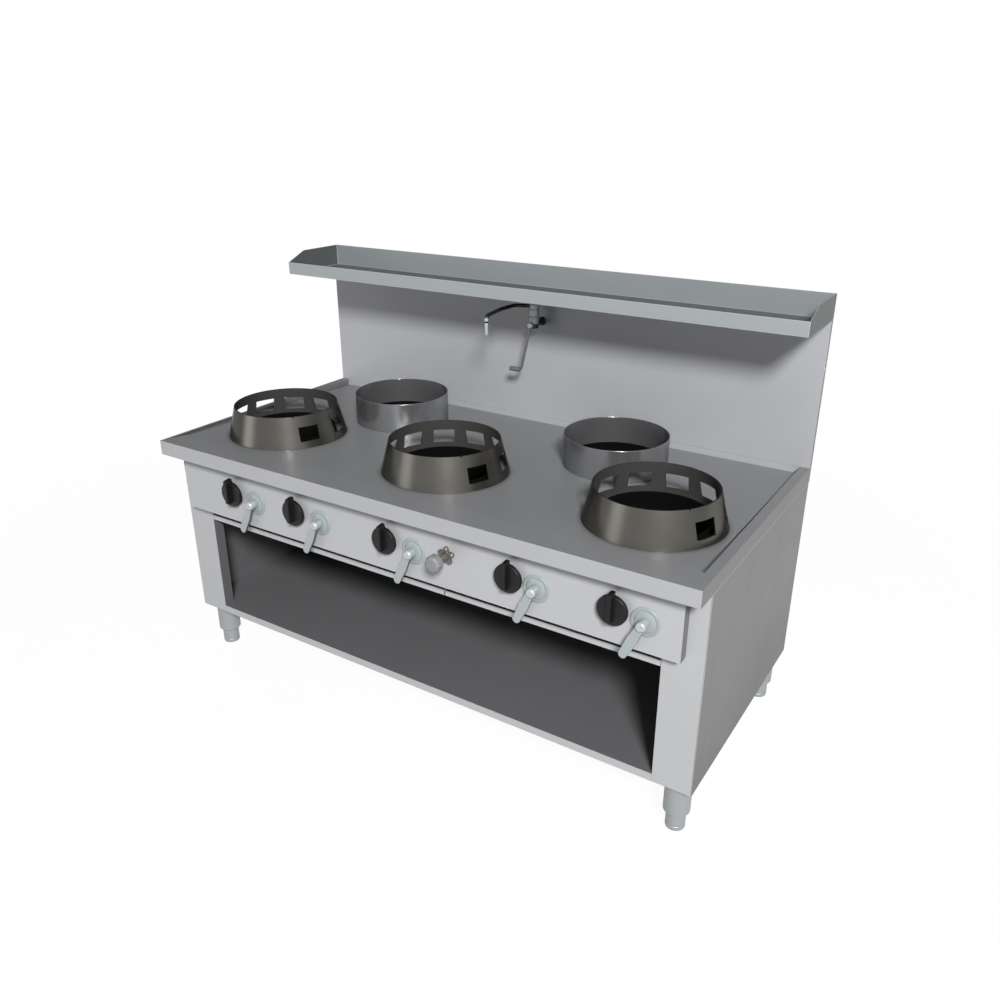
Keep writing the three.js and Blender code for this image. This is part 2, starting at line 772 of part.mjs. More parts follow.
// A round skirt with a raised bar across it; the bar's upper end reaches past the skirt and points.
function knob({ knobX }) {
  const back = knobFront + skirtDepth;
  const skirt = turnedY([
    [0, knobFront], [knobRadius - 3, knobFront], [knobRadius, knobFront + 4], [knobRadius, back],
    [knobStemRadius, back], [knobStemRadius, panelFront - fit], [spindleRadius, panelFront - fit],
    [spindleRadius, spindleEnd], [0, spindleEnd],
  ], turnedSegments + 4, knobX, knobHeight);
  const tipHeight = knobHeight + pointerReach - gripHalfWidth;
  const bar = new THREE.Shape();
  bar.moveTo(knobX - gripHalfWidth, knobHeight - gripTail);
  bar.lineTo(knobX + gripHalfWidth, knobHeight - gripTail);
  bar.lineTo(knobX + gripHalfWidth, tipHeight);
  bar.absarc(knobX, tipHeight, gripHalfWidth, 0, Math.PI, false);
  return join(skirt, prismY(bar, [knobFront - gripDepth, knobFront + skirtDepth / 2]));
}

// A flat tapered arm on a round hub. It hangs down, leaning to the left.
function lever({ leverX }) {
  const lean = THREE.MathUtils.degToRad(leverLean);
  const along = (distance, across) => [
    leverX - distance * Math.sin(lean) + across * Math.cos(lean),
    leverHeight - distance * Math.cos(lean) - across * Math.sin(lean),
  ];
  const [tipX, tipZ] = along(leverReach - leverTipRadius, 0);
  const arm = new THREE.Shape();
  arm.moveTo(...along(0, leverRootHalf));
  arm.lineTo(...along(0, -leverRootHalf));
  arm.lineTo(...along(leverMiddle, -leverMiddleHalf));
  arm.lineTo(...along(leverReach - leverTipRadius, -leverTipRadius));
  arm.absarc(tipX, tipZ, leverTipRadius, Math.PI - lean, 2 * Math.PI - lean, false);
  arm.lineTo(...along(leverMiddle, leverMiddleHalf));
  const hubFront = leverArmFront - leverHubProud;
  const hub = turnedY([
    [0, hubFront], [leverHubRadius - 4, hubFront], [leverHubRadius, hubFront + 4],
    [leverHubRadius, leverHubBack], [leverSpindleRadius, leverHubBack],
    [leverSpindleRadius, spindleEnd], [0, spindleEnd],
  ], boreSegments, leverX, leverHeight);
  return join(hub, prismY(arm, [leverArmFront, leverArmFront + leverArmThickness]));
}

function escutcheon({ leverX }) {
  const bore = leverSpindleRadius + running;
  const front = panelFront - escutcheonDepth - fit;
  return turnedY([
    [bore, front], [escutcheonFlatRadius, front], [escutcheonRadius - 3, front + 3],
    [escutcheonRadius, panelFront - fit], [bore, panelFront - fit],
  ], turnedSegments, leverX, leverHeight);
}

// ---------------------------------------------------------------------------------------------
// Water: the tap on the panel, the pipes, and the swing tap on the splashback
// ---------------------------------------------------------------------------------------------
function waterTap() {
  const rosette = turnedY([
    [0, bonnetFront], [bonnetRadius, bonnetFront], [bonnetRadius + 1, panelFront - 12],
    [rosetteRadius - 4, panelFront - 8], [rosetteRadius, panelFront - fit],
    [waterBossRadius, panelFront - fit], [waterBossRadius, valveFront + 2], [0, valveFront + 2],
  ], turnedSegments, waterTapX, waterTapHeight);
  const body = box(
    [waterTapX - waterBodyHalf, waterTapX + waterBodyHalf], [valveFront, waterBodyBack],
    [waterTapHeight - waterBodyHalf + 1, waterTapHeight + waterBodyHalf - 1]);
  const bore = rodY(
    spindleRadius + running, [bonnetFront - 2, spindleEnd / 2 + 5 + fit], boreSegments, waterTapX,
    waterTapHeight);
  return cut(join(rosette, body, waterPipes()), bore);
}

function waterHandle() {
  const front = waterHandleFront;
  const back = front + waterHandleDepth;
  return turnedY([
    [0, front], [waterHandleRadius - 4, front], [waterHandleRadius, front + 5],
    [waterHandleRadius, back - 8], [waterHandleRadius - 6, back - 3], [bonnetRadius, back],
    [bonnetRadius, bonnetFront - fit], [spindleRadius, bonnetFront - fit],
    [spindleRadius, spindleEnd / 2 + 5], [0, spindleEnd / 2 + 5],
  ], turnedSegments, waterTapX, waterTapHeight);
}

// One pipe climbs inside the splashback to the swing tap, the other comes in through the back.
function waterPipes() {
  const delivery = bentPipe([
    [waterTapX, waterBodyBack - 5, waterTapHeight], [waterTapX, waterPipeRise, waterTapHeight],
    [waterTapX, waterPipeRise, tapInletHeight],
    [tapX + tapTailRadius + fit, waterPipeRise, tapInletHeight],
  ], pipeRadius, 22, pipeSides);
  const supply = bentPipe([
    [supplyX, supplyY, waterTapHeight], [supplyX, supplyY, supplyHeight],
    [supplyX, depth - 0.5, supplyHeight],
  ], pipeRadius, 18, pipeSides);
  return join(delivery, supply);
}

function tapBody() {
  const neck = tapBodyRadius - 4;
  const throat = tapBodyRadius - 6;
  const column = turned([
    [0, tapInletHeight - neck], [throat, tapInletHeight - neck], [neck, tapInletHeight + 8],
    [tapBodyRadius, tapInletHeight + 14], [tapBodyRadius, tapCapBottom - fit],
    [0, tapCapBottom - fit],
  ], turnedSegments, tapX, faucetY);
  const front = faucetY - tapBodyRadius;
  const inlet = turnedY([
    [0, front], [throat - 2, front], [throat, front + 10], [throat, splashFace - 8],
    [tapFlangeRadius, splashFace - 6], [tapFlangeRadius, splashFace - fit],
    [tapTailRadius, splashFace - fit], [tapTailRadius, waterPipeRise + pipeRadius],
    [0, waterPipeRise + pipeRadius],
  ], turnedSegments, tapX, tapInletHeight);
  const spoutBore = rod(
    tapTailRadius + running, [tapCapBottom - tapBodyRadius, tapCapBottom + 1], turnedSegments,
    tapX, faucetY);
  const leverBore = rodY(
    spindleRadius + running, [front - 2, faucetY - 2], boreSegments, tapX, tapInletHeight);
  return cut(join(column, inlet), spoutBore, leverBore);
}

function tapSpout() {
  const stemBottom = tapCapBottom - tapBodyRadius + 1;
  const capRadius = tapBodyRadius - 1;
  const cap = turned([
    [0, stemBottom], [tapTailRadius, stemBottom], [tapTailRadius, tapCapBottom],
    [capRadius, tapCapBottom], [capRadius, tapTop - 5], [capRadius - 5, tapTop], [0, tapTop],
  ], turnedSegments, tapX, faucetY);
  const outlet = tapTop - 14;
  const side = tapX - spoutOffset;
  const end = faucetY - spoutReach;
  const tube = bentPipe([
    [tapX, faucetY, outlet], [side, faucetY - spoutElbow, outlet + 2],
    [side, faucetY - spoutKnee, outlet + 3],
    [side + 4, end, outlet - 3], [side + 4, end, outlet - nozzleLength],
  ], spoutRadius, 22, pipeSides);
  return join(cap, tube);
}

function tapLever() {
  const face = faucetY - tapBodyRadius;
  const plane = face - 6;
  const hub = turnedY([
    [0, plane - 7], [11, plane - 7], [13, plane - 3], [13, face - fit],
    [spindleRadius, face - fit], [spindleRadius, faucetY - 3], [0, faucetY - 3],
  ], boreSegments, tapX, tapInletHeight);
  const kneeX = tapX - tapLeverOffset;
  const kneeZ = tapInletHeight - tapLeverDrop;
  const stalk = bentPipe([
    [tapX, plane, tapInletHeight], [kneeX, plane, kneeZ],
    [kneeX - tapGripLength, plane, kneeZ - 6],
  ], 4, 8, pipeSides);
  const grip = rodX(
    8.5, [kneeX - tapGripLength - 6, kneeX - 6], boreSegments, plane, kneeZ - 4);
  return join(hub, stalk, grip);
}

// ---------------------------------------------------------------------------------------------
// Legs: a fixed sleeve and a foot that slides out of it
// ---------------------------------------------------------------------------------------------
function legSleeve({ x, y }) {
  const top = legHeight + shelfLipHeight - sheet / 2;
  const bore = footRadius + running;
  return turned([
    [bore, footVisible], [sleeveRadius - 2, footVisible], [sleeveRadius, footVisible + 3],
    [sleeveRadius, top], [0, top], [0, footVisible + footStem + fit],
    [bore, footVisible + footStem + fit],
  ], turnedSegments, x, y);
}

function adjustableFoot({ x, y }) {
  return turned([
    [0, 0], [footRadius - 3, 0], [footRadius, 4], [footRadius, footVisible + footStem],
    [0, footVisible + footStem],
  ], turnedSegments, x, y);
}

// ---------------------------------------------------------------------------------------------
// Assembly
// ---------------------------------------------------------------------------------------------
part('worktop_frame', worktopFrame(), brushedSteel);
part('deck_plate', deckPlate(), deckSteel);
part('splashback', splashback(), brushedSteel);
part('upper_shelf', upperShelf(), brushedSteel);
part('side_panel_left', sidePanel(-1), brushedSteel);
part('side_panel_right', sidePanel(1), brushedSteel);
part('front_post_left', frontPost(-1), brushedSteel);
part('front_post_right', frontPost(1), brushedSteel);
part('cabinet_back', cabinetBack(), brushedSteel);
part('bottom_shelf', bottomShelf(), brushedSteel);
part('control_panel', controlPanel(), brushedSteel);
part('front_rail', frontRail(), brushedSteel);
part('drip_tray_left',
  dripTray([-postInner + trayClearance, traySplitX - trayClearance - sheet / 2]), brushedSteel);
part('drip_tray_right',
  dripTray([traySplitX + trayClearance + sheet / 2, postInner - trayClearance]), brushedSteel);
part('tray_runners', trayRunners(), brushedSteel);
part('gas_manifold', gasManifold(), pipeSteel);
part('water_tap', waterTap(), bronzeGrey);
part('water_tap_handle', waterHandle(), polishedSteel);
part('swing_tap_body', tapBody(), polishedSteel);
part('swing_tap_spout', tapSpout(), polishedSteel);
part('swing_tap_lever', tapLever(), polishedSteel);
legs.forEach((leg) => part(`foot_${leg.name}`, adjustableFoot(leg), brushedSteel));
stations.forEach((station, i) => {
  const number = i + 1;
  const ring = station.burnerY === frontRow ? wokRing(station) : potRing(station);
  part(station.ring, ring, station.burnerY === frontRow ? ringIron : polishedSteel);
  part(`burner_well_${number}`, burnerWell(station), castIron);
  part(`burner_${number}`, burner(station), castIron);
  part(`gas_valve_${number}`, gasValve(station), brass);
  part(`knob_${number}`, knob(station), blackPlastic);
  part(`lever_escutcheon_${number}`, escutcheon(station), polishedSteel);
  part(`lever_${number}`, lever(station), polishedSteel);
});

export default range;
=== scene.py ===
# %% [markdown]
# # A gas wok range in folded stainless steel
# The real range is a cabinet of folded sheet. It carries a worktop with five burners, three
# conical wok rings in front, two plain pot rings behind, and a splashback with a shelf and a swing
# tap. The CAD model gives every solid and every joint. This lesson loads it as a fixed frame,
# dresses each solid with the finer shape of the real piece, and gives each surface a procedural
# finish.

# %% Load the CAD model
import json
import math

import bmesh
import bpy
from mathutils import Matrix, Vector

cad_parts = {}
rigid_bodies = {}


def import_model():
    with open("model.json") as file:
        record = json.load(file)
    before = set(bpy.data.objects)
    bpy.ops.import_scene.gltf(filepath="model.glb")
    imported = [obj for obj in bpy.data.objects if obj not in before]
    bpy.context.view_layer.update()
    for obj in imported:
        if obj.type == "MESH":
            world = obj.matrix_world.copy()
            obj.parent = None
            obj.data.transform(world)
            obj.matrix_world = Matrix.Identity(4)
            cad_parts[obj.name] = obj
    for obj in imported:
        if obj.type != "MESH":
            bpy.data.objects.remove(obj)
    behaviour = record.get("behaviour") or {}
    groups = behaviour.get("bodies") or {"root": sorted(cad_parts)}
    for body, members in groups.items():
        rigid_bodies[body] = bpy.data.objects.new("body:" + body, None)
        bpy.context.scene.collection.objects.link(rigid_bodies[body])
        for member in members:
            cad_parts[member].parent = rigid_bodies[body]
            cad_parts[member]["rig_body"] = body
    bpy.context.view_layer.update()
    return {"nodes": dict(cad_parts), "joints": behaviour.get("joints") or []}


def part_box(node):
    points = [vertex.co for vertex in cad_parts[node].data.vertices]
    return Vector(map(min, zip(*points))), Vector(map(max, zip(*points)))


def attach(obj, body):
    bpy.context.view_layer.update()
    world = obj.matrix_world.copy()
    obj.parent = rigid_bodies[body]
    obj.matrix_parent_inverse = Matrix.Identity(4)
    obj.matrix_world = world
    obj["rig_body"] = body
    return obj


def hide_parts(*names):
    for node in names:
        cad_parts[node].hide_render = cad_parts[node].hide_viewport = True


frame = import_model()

# %% [markdown]
# ## Where things are
# Sizes could be typed in again, but then they would drift away from the CAD model. So they are
# read from the frame: joints give the axes of the knobs, levers and taps, and boxes give the rest.

# %% Read the main places
mm = 0.001
joint_gap = 0.3 * mm
up = Vector((0, 0, 1))
forward = Vector((0, -1, 0))
scene = bpy.context.scene
axis_of = {joint["name"]: Vector(joint["pos_m"]) for joint in frame["joints"] if "pos_m" in joint}
ring_names = [
    "wok_ring_left", "pot_ring_left", "wok_ring_centre", "pot_ring_right", "wok_ring_right"]
wok_rings = ring_names[0::2]
pot_rings = ring_names[1::2]
numbers = range(1, 6)


def add_object(name, data):
    thing = bpy.data.objects.new(name, data)
    scene.collection.objects.link(thing)
    return thing


def centre(node):
    low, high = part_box(node)
    return (low + high) / 2


top_low, top_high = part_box("worktop_frame")
deck_low, deck_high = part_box("deck_plate")
panel_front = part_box("control_panel")[0].y
splash_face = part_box("splashback")[0].y
land_depth = 90 * mm
deck_fall = 22 * mm
deck_slope = deck_fall / (splash_face - top_low.y - land_depth)
deck_normal = Vector((0, deck_slope, 1)).normalized()


def deck_height(y):
    return top_high.z - deck_slope * (y - top_low.y - land_depth)


def in_line(axis, y):
    """Where an axis that runs from front to back has come as far as y."""
    return Vector((axis.x, y, axis.z))


def on_deck(ring):
    middle = centre(ring)
    return Vector((middle.x, middle.y, deck_height(middle.y)))


print("deck falls", round(deck_slope * 100, 2), "mm in every 100 mm")

# %% [markdown]
# ## The camera
# The photograph was taken from the front right, a little above the worktop. The place, the turn
# and the lens below were found by matching twenty corners of the range with their places in the
# picture.

# %% Place the camera
camera = add_object("camera", bpy.data.cameras.new("camera"))
scene.camera = camera
camera.data.sensor_width = 36
camera.data.lens = 32.105
camera.location = (1.56235, -2.26361, 1.88252)
camera.rotation_euler = (math.radians(66.499), 0, math.radians(32.58))
camera.data.clip_end = 60
print("camera", tuple(camera.location))

# %% [markdown]
# ## A small language for nodes
# Shader and geometry trees can be wired by hand, node by node, but sums soon become unreadable. A
# Wire stands for one output socket, and adding or multiplying wires adds the Math node for it. A
# Graph makes every other node: its kind first, then what goes into its sockets, then its settings.

# %% Write node trees as plain expressions
class Wire:
    """One output socket that can take part in a sum."""

    def __init__(self, graph, socket):
        self.graph = graph
        self.socket = socket

    def calculate(self, operation, first, second):
        return self.graph.node("ShaderNodeMath", {0: first, 1: second}, operation=operation)

    def __add__(self, other):
        return self.calculate("ADD", self, other)

    def __radd__(self, other):
        return self.calculate("ADD", other, self)

    def __sub__(self, other):
        return self.calculate("SUBTRACT", self, other)

    def __rsub__(self, other):
        return self.calculate("SUBTRACT", other, self)

    def __mul__(self, other):
        return self.calculate("MULTIPLY", self, other)

    def __rmul__(self, other):
        return self.calculate("MULTIPLY", other, self)


class Graph:
    """Makes the nodes of one tree."""

    def __init__(self, tree):
        self.tree = tree

    def feed(self, socket, value):
        if isinstance(value, Wire):
            self.tree.links.new(value.socket, socket)
        elif hasattr(value, "__len__") and len(value) == 3 and len(socket.default_value) == 4:
            socket.default_value = (*value, 1.0)
        else:
            socket.default_value = value

    def node(self, kind, values=None, output=0, **settings):
        node = self.tree.nodes.new(kind)
        for key, setting in settings.items():
            setattr(node, key, setting)
        for key, value in (values or {}).items():
            self.feed(node.inputs[key], value)
        return Wire(self, node.outputs[output])

    def spread(self, value, low, high, dark, bright):
        """Stretches what lies between low and high over dark to bright."""
        return self.node("ShaderNodeMapRange", {
            "Value": value, "From Min": low, "From Max": high, "To Min": dark, "To Max": bright},
            clamp=True)

    def measure(self, operation, first, second=(0, 0, 0)):
        """A number made of two vectors, such as their distance."""
        return self.node(
            "ShaderNodeVectorMath", {0: first, 1: second}, "Value", operation=operation)

    def ray(self, kind):
        """1 for a ray of one kind, such as Camera, and 0 for any other."""
        return self.node("ShaderNodeLightPath", output=f"Is {kind} Ray")

    def mix(self, factor, first, second):
        """Mixes two colours."""
        return self.node("ShaderNodeMix", {0: factor, 6: first, 7: second}, 2, data_type="RGBA")


def linear(*colour):
    """A colour as a screen shows it, from 0 to 255, in the linear values that shaders use."""
    shares = [value / 255 for value in colour]
    return tuple(share / 12.92 if share < 0.04045 else ((share + 0.055) / 1.055) ** 2.4
                 for share in shares)


# %% [markdown]
# ## Finishes
# A sheet of stainless steel isn't one even grey. The mill leaves a fine grain along its length,
# hands and cloths leave soft smudges, and flat sheet is never quite flat. All of that comes from
# noise on Object coordinates: one noise stretched along the grain, and one broad noise for the
# smudges. The alternative is a photograph of steel as a texture, which would show its seams on a
# part this long.

# %% The finish that every metal starts from
# The dark colour that painted shade mixes into a finish.
painted_shade_colour = linear(26, 25, 24)


def metal(name, colour, roughness, metallic, grain, contrast=0.02, bump=0.006, smudge=0.04,
          streak=0.05, rim=1.0, painted_shade=1.0):
    """grain is how fine the pattern is along X, Y and Z; rim is how bright the metal is edge on.

    painted_shade is 1 for evenly lit metal, or a rule that says how much shade is painted where.
    """
    colour = linear(*colour)
    material = bpy.data.materials.new(name)
    material.use_nodes = True
    graph = Graph(material.node_tree)
    shader = graph.tree.nodes["Principled BSDF"]
    place = graph.node("ShaderNodeTexCoord", output="Object")
    lengthwise = graph.node("ShaderNodeMapping", {"Vector": place, "Scale": grain})
    lines = graph.node("ShaderNodeTexNoise", {
        "Vector": lengthwise, "Scale": 1.0, "Detail": 4.0, "Roughness": 0.6})
    broad = graph.node("ShaderNodeTexNoise", {
        "Vector": place, "Scale": 3.5, "Detail": 3.0, "Roughness": 0.55})
    smudges = graph.spread(broad, 0.35, 0.7, -1.0, 1.0)
    fine = graph.spread(lines, 0.3, 0.7, -1.0, 1.0)
    tone = 0.5 + contrast * 4 * fine + contrast * 3 * smudges
    dark = tuple(value * 0.9 for value in colour)
    bright = tuple(min(1.0, value * 1.1) for value in colour)
    even = graph.mix(tone, dark, bright)
    # Painted shade: where the rule falls below 1, the base colour is mixed towards the dark shade
    # colour.
    shade_amount = painted_shade(graph, place) if callable(painted_shade) else painted_shade
    graph.feed(shader.inputs["Base Color"], graph.mix(shade_amount, painted_shade_colour, even))
    graph.feed(shader.inputs["Roughness"], roughness + streak * fine + smudge * smudges)
    graph.feed(shader.inputs["Specular Tint"], (rim,) * 3)
    graph.feed(shader.inputs["Normal"], graph.node("ShaderNodeBump", {
        "Height": lines, "Strength": bump, "Distance": 0.001}))
    shader.inputs["Metallic"].default_value = metallic
    return material


along_x = (4.0, 700.0, 700.0)
along_z = (700.0, 700.0, 4.0)
cast = (160.0, 160.0, 160.0)

# %% The sheet of the body, and the same sheet with an upright grain
body_foot = 170 * mm
shade_fade_top = 520 * mm


def shade_toward_floor(graph, place):
    """1 high on the sheet, less toward the floor, where painted shade darkens the lower sheet."""
    height = graph.node("ShaderNodeSeparateXYZ", {"Vector": place}, "Z")
    return graph.spread(height, body_foot, shade_fade_top, 0.62, 1.0)


body_steel = metal("body_steel", (167, 168, 171), 0.42, 0.2, along_x)
panel_steel = metal("panel_steel", (176, 177, 180), 0.42, 0.2, along_x)
# A darker copy of the body steel: painted shade for the sides and ends of sheets, the faces that
# the lamp lights least.
side_shade_steel = metal(
    "side_shade_steel", (107, 107, 108), 0.42, 0.2, along_z, contrast=0.008, smudge=0.02,
    painted_shade=shade_toward_floor)
post_steel = metal("post_steel", (175, 176, 178), 0.42, 0.2, along_z)
shelf_steel = metal("shelf_steel", (150, 155, 157), 0.42, 0.2, along_x)
# The next two are darker copies of the shelf steel: painted shade on the shelf's back, floor and
# ends.
tray_steel = metal("tray_steel", (136, 141, 143), 0.42, 0.2, along_x)
end_shade_steel = metal("end_shade_steel", (84, 88, 88), 0.45, 0.2, along_z)
worn_steel = metal("worn_steel", (190, 192, 194), 0.3, 0.4, along_x)
# Painted shade for the faces inside the cabinet.
inner_shade_steel = metal("inner_shade_steel", (100, 100, 102), 0.5, 0.2, along_x)
print("body steel has", len(body_steel.node_tree.nodes), "nodes")

# %% [markdown]
# The worktop and the deck are scoured with wire wool every day, so their tone is duller and darker
# than the body's, and their grain is broken up by cloudy patches. Close round the foot of each wok
# ring the deck gets a painted contact shadow: the distance to each ring's axis says where.

# %% The scoured sheet of the worktop and the deck
ring_foot = 204 * mm
shade_reach = 14 * mm


def shade_at_ring_feet(graph, place):
    """1 on the open deck, less close round a wok ring, where painted contact shadow darkens it."""
    flat = graph.node("ShaderNodeVectorMath", {0: place, 1: (1, 1, 0)}, operation="MULTIPLY")
    unshaded = 1.0
    for ring in wok_rings:
        middle = centre(ring)
        away = graph.measure("DISTANCE", flat, (middle.x, middle.y, 0.0))
        unshaded = graph.spread(away, ring_foot, ring_foot + shade_reach, 0.6, 1.0) * unshaded
    return unshaded


deck_steel = metal(
    "deck_steel", (124, 125, 127), 0.45, 0.2, along_x, contrast=0.03, smudge=0.05,
    painted_shade=shade_at_ring_feet)

# %% Small steel pieces, iron, brass and plastic
lever_steel = metal("lever_steel", (160, 167, 169), 0.38, 0.3, cast, contrast=0.01, bump=0.0)
# A dark steel for the lever arms' edges: painted shade.
edge_shade_steel = metal("edge_shade_steel", (80, 85, 87), 0.5, 0.3, cast, contrast=0.02, bump=0.0)
polished_steel = metal("polished_steel", (150, 158, 159), 0.4, 0.2, cast, contrast=0.01, bump=0.0)
foot_steel = metal("foot_steel", (150, 154, 156), 0.4, 0.3, along_z, bump=0.0)
pipe_steel = metal("pipe_steel", (122, 124, 126), 0.42, 0.8, cast)
pot_ring_steel = metal(
    "pot_ring_steel", (160, 161, 163), 0.24, 0.85, along_z, contrast=0.005, bump=0.0, smudge=0.02,
    streak=0.01, rim=0.5)
ring_iron = metal(
    "ring_iron", (103, 101, 96), 0.24, 0.9, along_z, contrast=0.01, bump=0.0, streak=0.005, rim=0.4)
burnt_iron = metal("burnt_iron", (70, 68, 66), 0.6, 0.3, along_z, contrast=0.05)
soot_iron = metal("soot_iron", (9, 8, 8), 0.9, 0.0, cast, contrast=0.12, bump=0.2, rim=0.1)
burner_iron = metal("burner_iron", (52, 50, 48), 0.6, 0.3, cast, contrast=0.1, bump=0.15)
brass = metal("brass", (156, 131, 80), 0.38, 0.9, cast)
bronze_grey = metal("bronze_grey", (112, 107, 101), 0.45, 0.6, cast, contrast=0.08)
# A bright polish for the screws and the nozzle, also used as a painted highlight on the lever hubs
# and the swing tap's hub.
bright_and_highlight_steel = metal("bright_and_highlight_steel", (176, 181, 183), 0.38, 0.3, cast, contrast=0.01, bump=0.0)
wheel_steel = metal("wheel_steel", (128, 129, 131), 0.55, 0.1, cast, contrast=0.02, bump=0.0)
tap_steel = metal("tap_steel", (168, 172, 174), 0.35, 0.4, along_z, contrast=0.03)
# A dark chrome for the swing tap's spout and elbow: painted shade from the shelf above.
shaded_chrome = metal("shaded_chrome", (44, 46, 46), 0.25, 0.6, cast, contrast=0.03, bump=0.01)
grip_grey = metal("grip_grey", (92, 93, 94), 0.5, 0.0, cast, contrast=0.04, bump=0.08)
black_plastic = metal(
    "black_plastic", (17, 17, 18), 0.5, 0.0, cast, contrast=0.05, bump=0.05, rim=0.5)
print("finishes:", len(bpy.data.materials))

# %% [markdown]
# ## Turning a shape into a piece
# Every piece ends the same way: its doubles are merged, its faces point outwards, its sharp edges
# get the small round that catches the light, and it is hung on the CAD body that carries it. A
# Bevel modifier makes that round, because edges that stay razor sharp look like paper. The shading
# then follows the large faces, so that a flat sheet stays flat right up to its folds.

# %% Finish a piece
def finish_piece(name, shape, node, materials, edge=0.6, smooth=35, outward=True,
                 limit="ANGLE", worn=-1):
    """Makes the piece that stands for a CAD node and moves with that node's body.

    edge is the width of its rounds in millimetres, or None for sharp edges, and worn is the
    number of the material that the rounds get.
    """
    bmesh.ops.remove_doubles(shape, verts=shape.verts, dist=0.01 * mm)
    if outward:
        bmesh.ops.recalc_face_normals(shape, faces=shape.faces)
    mesh = bpy.data.meshes.new(name)
    shape.to_mesh(mesh)
    shape.free()
    for material in materials:
        mesh.materials.append(material)
    mesh.shade_smooth()
    mesh.set_sharp_from_angle(angle=math.radians(smooth))
    piece = add_object(name, mesh)
    if edge:
        bevel = piece.modifiers.new("edge", "BEVEL")
        bevel.width = edge * mm
        bevel.segments = 2
        bevel.limit_method = limit
        bevel.angle_limit = math.radians(smooth)
        bevel.material = worn
        bevel.miter_outer = "MITER_ARC"
        shading = piece.modifiers.new("shading", "WEIGHTED_NORMAL")
        shading.keep_sharp = True
    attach(piece, frame["nodes"][node]["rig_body"])
    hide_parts(node)
    return piece


# %% [markdown]
# ## The folded sheets
# The flat sheets already have their true shape in the CAD model, so each is copied and its
# triangles are merged. Only long folds get a round: a bevel weight marks them, because a bevel on
# the many short edges of a hole would pull at the flat face around it. Sleeves and pans rub along
# those folds, so the rounds get a brighter, worn finish. A small rule looks at where each face
# points and gives some faces of one sheet another steel: the darker steels on sides, ends, inner
# faces and the shelf's tray are painted shade, and the worktop's top faces take the deck's tone.

# %% Dress the folded sheets
shortest_fold = 25 * mm
fold_angle = math.radians(35)


def dress_sheet(node, materials, pick=None, rubbed=None):
    """pick chooses a material for each face, and rubbed says which folds get a round."""
    shape = bmesh.new()
    shape.from_mesh(frame["nodes"][node].data)
    bmesh.ops.remove_doubles(shape, verts=shape.verts, dist=0.01 * mm)
    weight = shape.edges.layers.float.new("bevel_weight_edge")
    for fold in shape.edges:
        sharp = len(fold.link_faces) == 2 and fold.calc_face_angle() > fold_angle
        handled = rubbed is None or rubbed((fold.verts[0].co + fold.verts[1].co) / 2)
        fold[weight] = 1.0 if sharp and handled and fold.calc_length() > shortest_fold else 0.0
    for face in shape.faces:
        face.material_index = pick(face) if pick else 0
    piece = finish_piece(f"{node}_sheet", shape, node, [*materials, worn_steel], 0.8,
                         outward=False, limit="WEIGHT", worn=len(materials))
    print(node, len(piece.data.polygons), "faces")


bay_middle = Vector((0.0, 0.0, (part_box("bottom_shelf")[1].z + top_low.z) / 2))


def looks_up(face):
    return int(face.normal.z > 0.7)


def is_end(face):
    return int(abs(face.normal.x) > 0.7)


def top_or_end(face):
    return 2 if is_end(face) else looks_up(face)


def looks_inward(face):
    """The faces that close the cabinet in get a darker steel, painted shade for its dim inside."""
    return int(face.normal.dot(bay_middle - face.calc_center_median()) > 0)


def shelf_part(face):
    """1 for the tray's floor and ends, 2 for its back and 0 for its front lip; 1 and 2 are painted
    shade.
    """
    behind = face.calc_center_median().y > centre("upper_shelf").y
    return 1 if looks_up(face) or is_end(face) else 2 * behind


def beyond_deck(spot):
    """True away from the deck and its hairline joint, which is ground flush and stays sharp."""
    joint = 2 * mm
    return not (deck_low.x - joint < spot.x < deck_high.x + joint
                and deck_low.y - joint < spot.y < deck_high.y + joint)


dress_sheet("worktop_frame", [body_steel, deck_steel, side_shade_steel], top_or_end, beyond_deck)
dress_sheet("deck_plate", [deck_steel], rubbed=beyond_deck)
dress_sheet("splashback", [body_steel, side_shade_steel], is_end)
for node in ("control_panel", "drip_tray_left", "drip_tray_right"):
    dress_sheet(node, [panel_steel, side_shade_steel], is_end)
dress_sheet("upper_shelf", [shelf_steel, end_shade_steel, tray_steel], shelf_part)
for node in ("side_panel_left", "side_panel_right", "cabinet_back"):
    dress_sheet(node, [side_shade_steel, inner_shade_steel], looks_inward)
for node in ("front_post_left", "front_post_right"):
    dress_sheet(node, [post_steel, inner_shade_steel], looks_inward)

# %% [markdown]
# What sits behind the panel keeps its CAD mesh, since the shape is right and little of it is seen.

# %% Give the hidden pieces their finish
def refinish(node, material):
    frame["nodes"][node].material_slots[0].material = material


refinish("front_rail", body_steel)
refinish("tray_runners", body_steel)
refinish("gas_manifold", pipe_steel)
for number in numbers:
    refinish(f"gas_valve_{number}", brass)

# %% [markdown]
# ## Shapes that are turned, swept and cut from plate
# Knobs, feet, wells and taps are turned, so one profile of radius and height, carried round an
# axis, gives the whole piece. Pipes are a circle swept along a line. Arms are an outline with a
# thickness. Profiles and outlines are in millimetres, as on a drawing, while every place is in
# metres.

# %% Helpers for turned, swept and plate shapes
def add_ring(shape, middle, axis, across, radius, sides):
    """Adds the points of a circle about an axis, the first of them straight across from it."""
    beside = axis.cross(across)
    turns = [2 * math.pi * step / sides for step in range(sides)]
    return [shape.verts.new(middle + radius * (across * math.cos(turn) + beside * math.sin(turn)))
            for turn in turns]


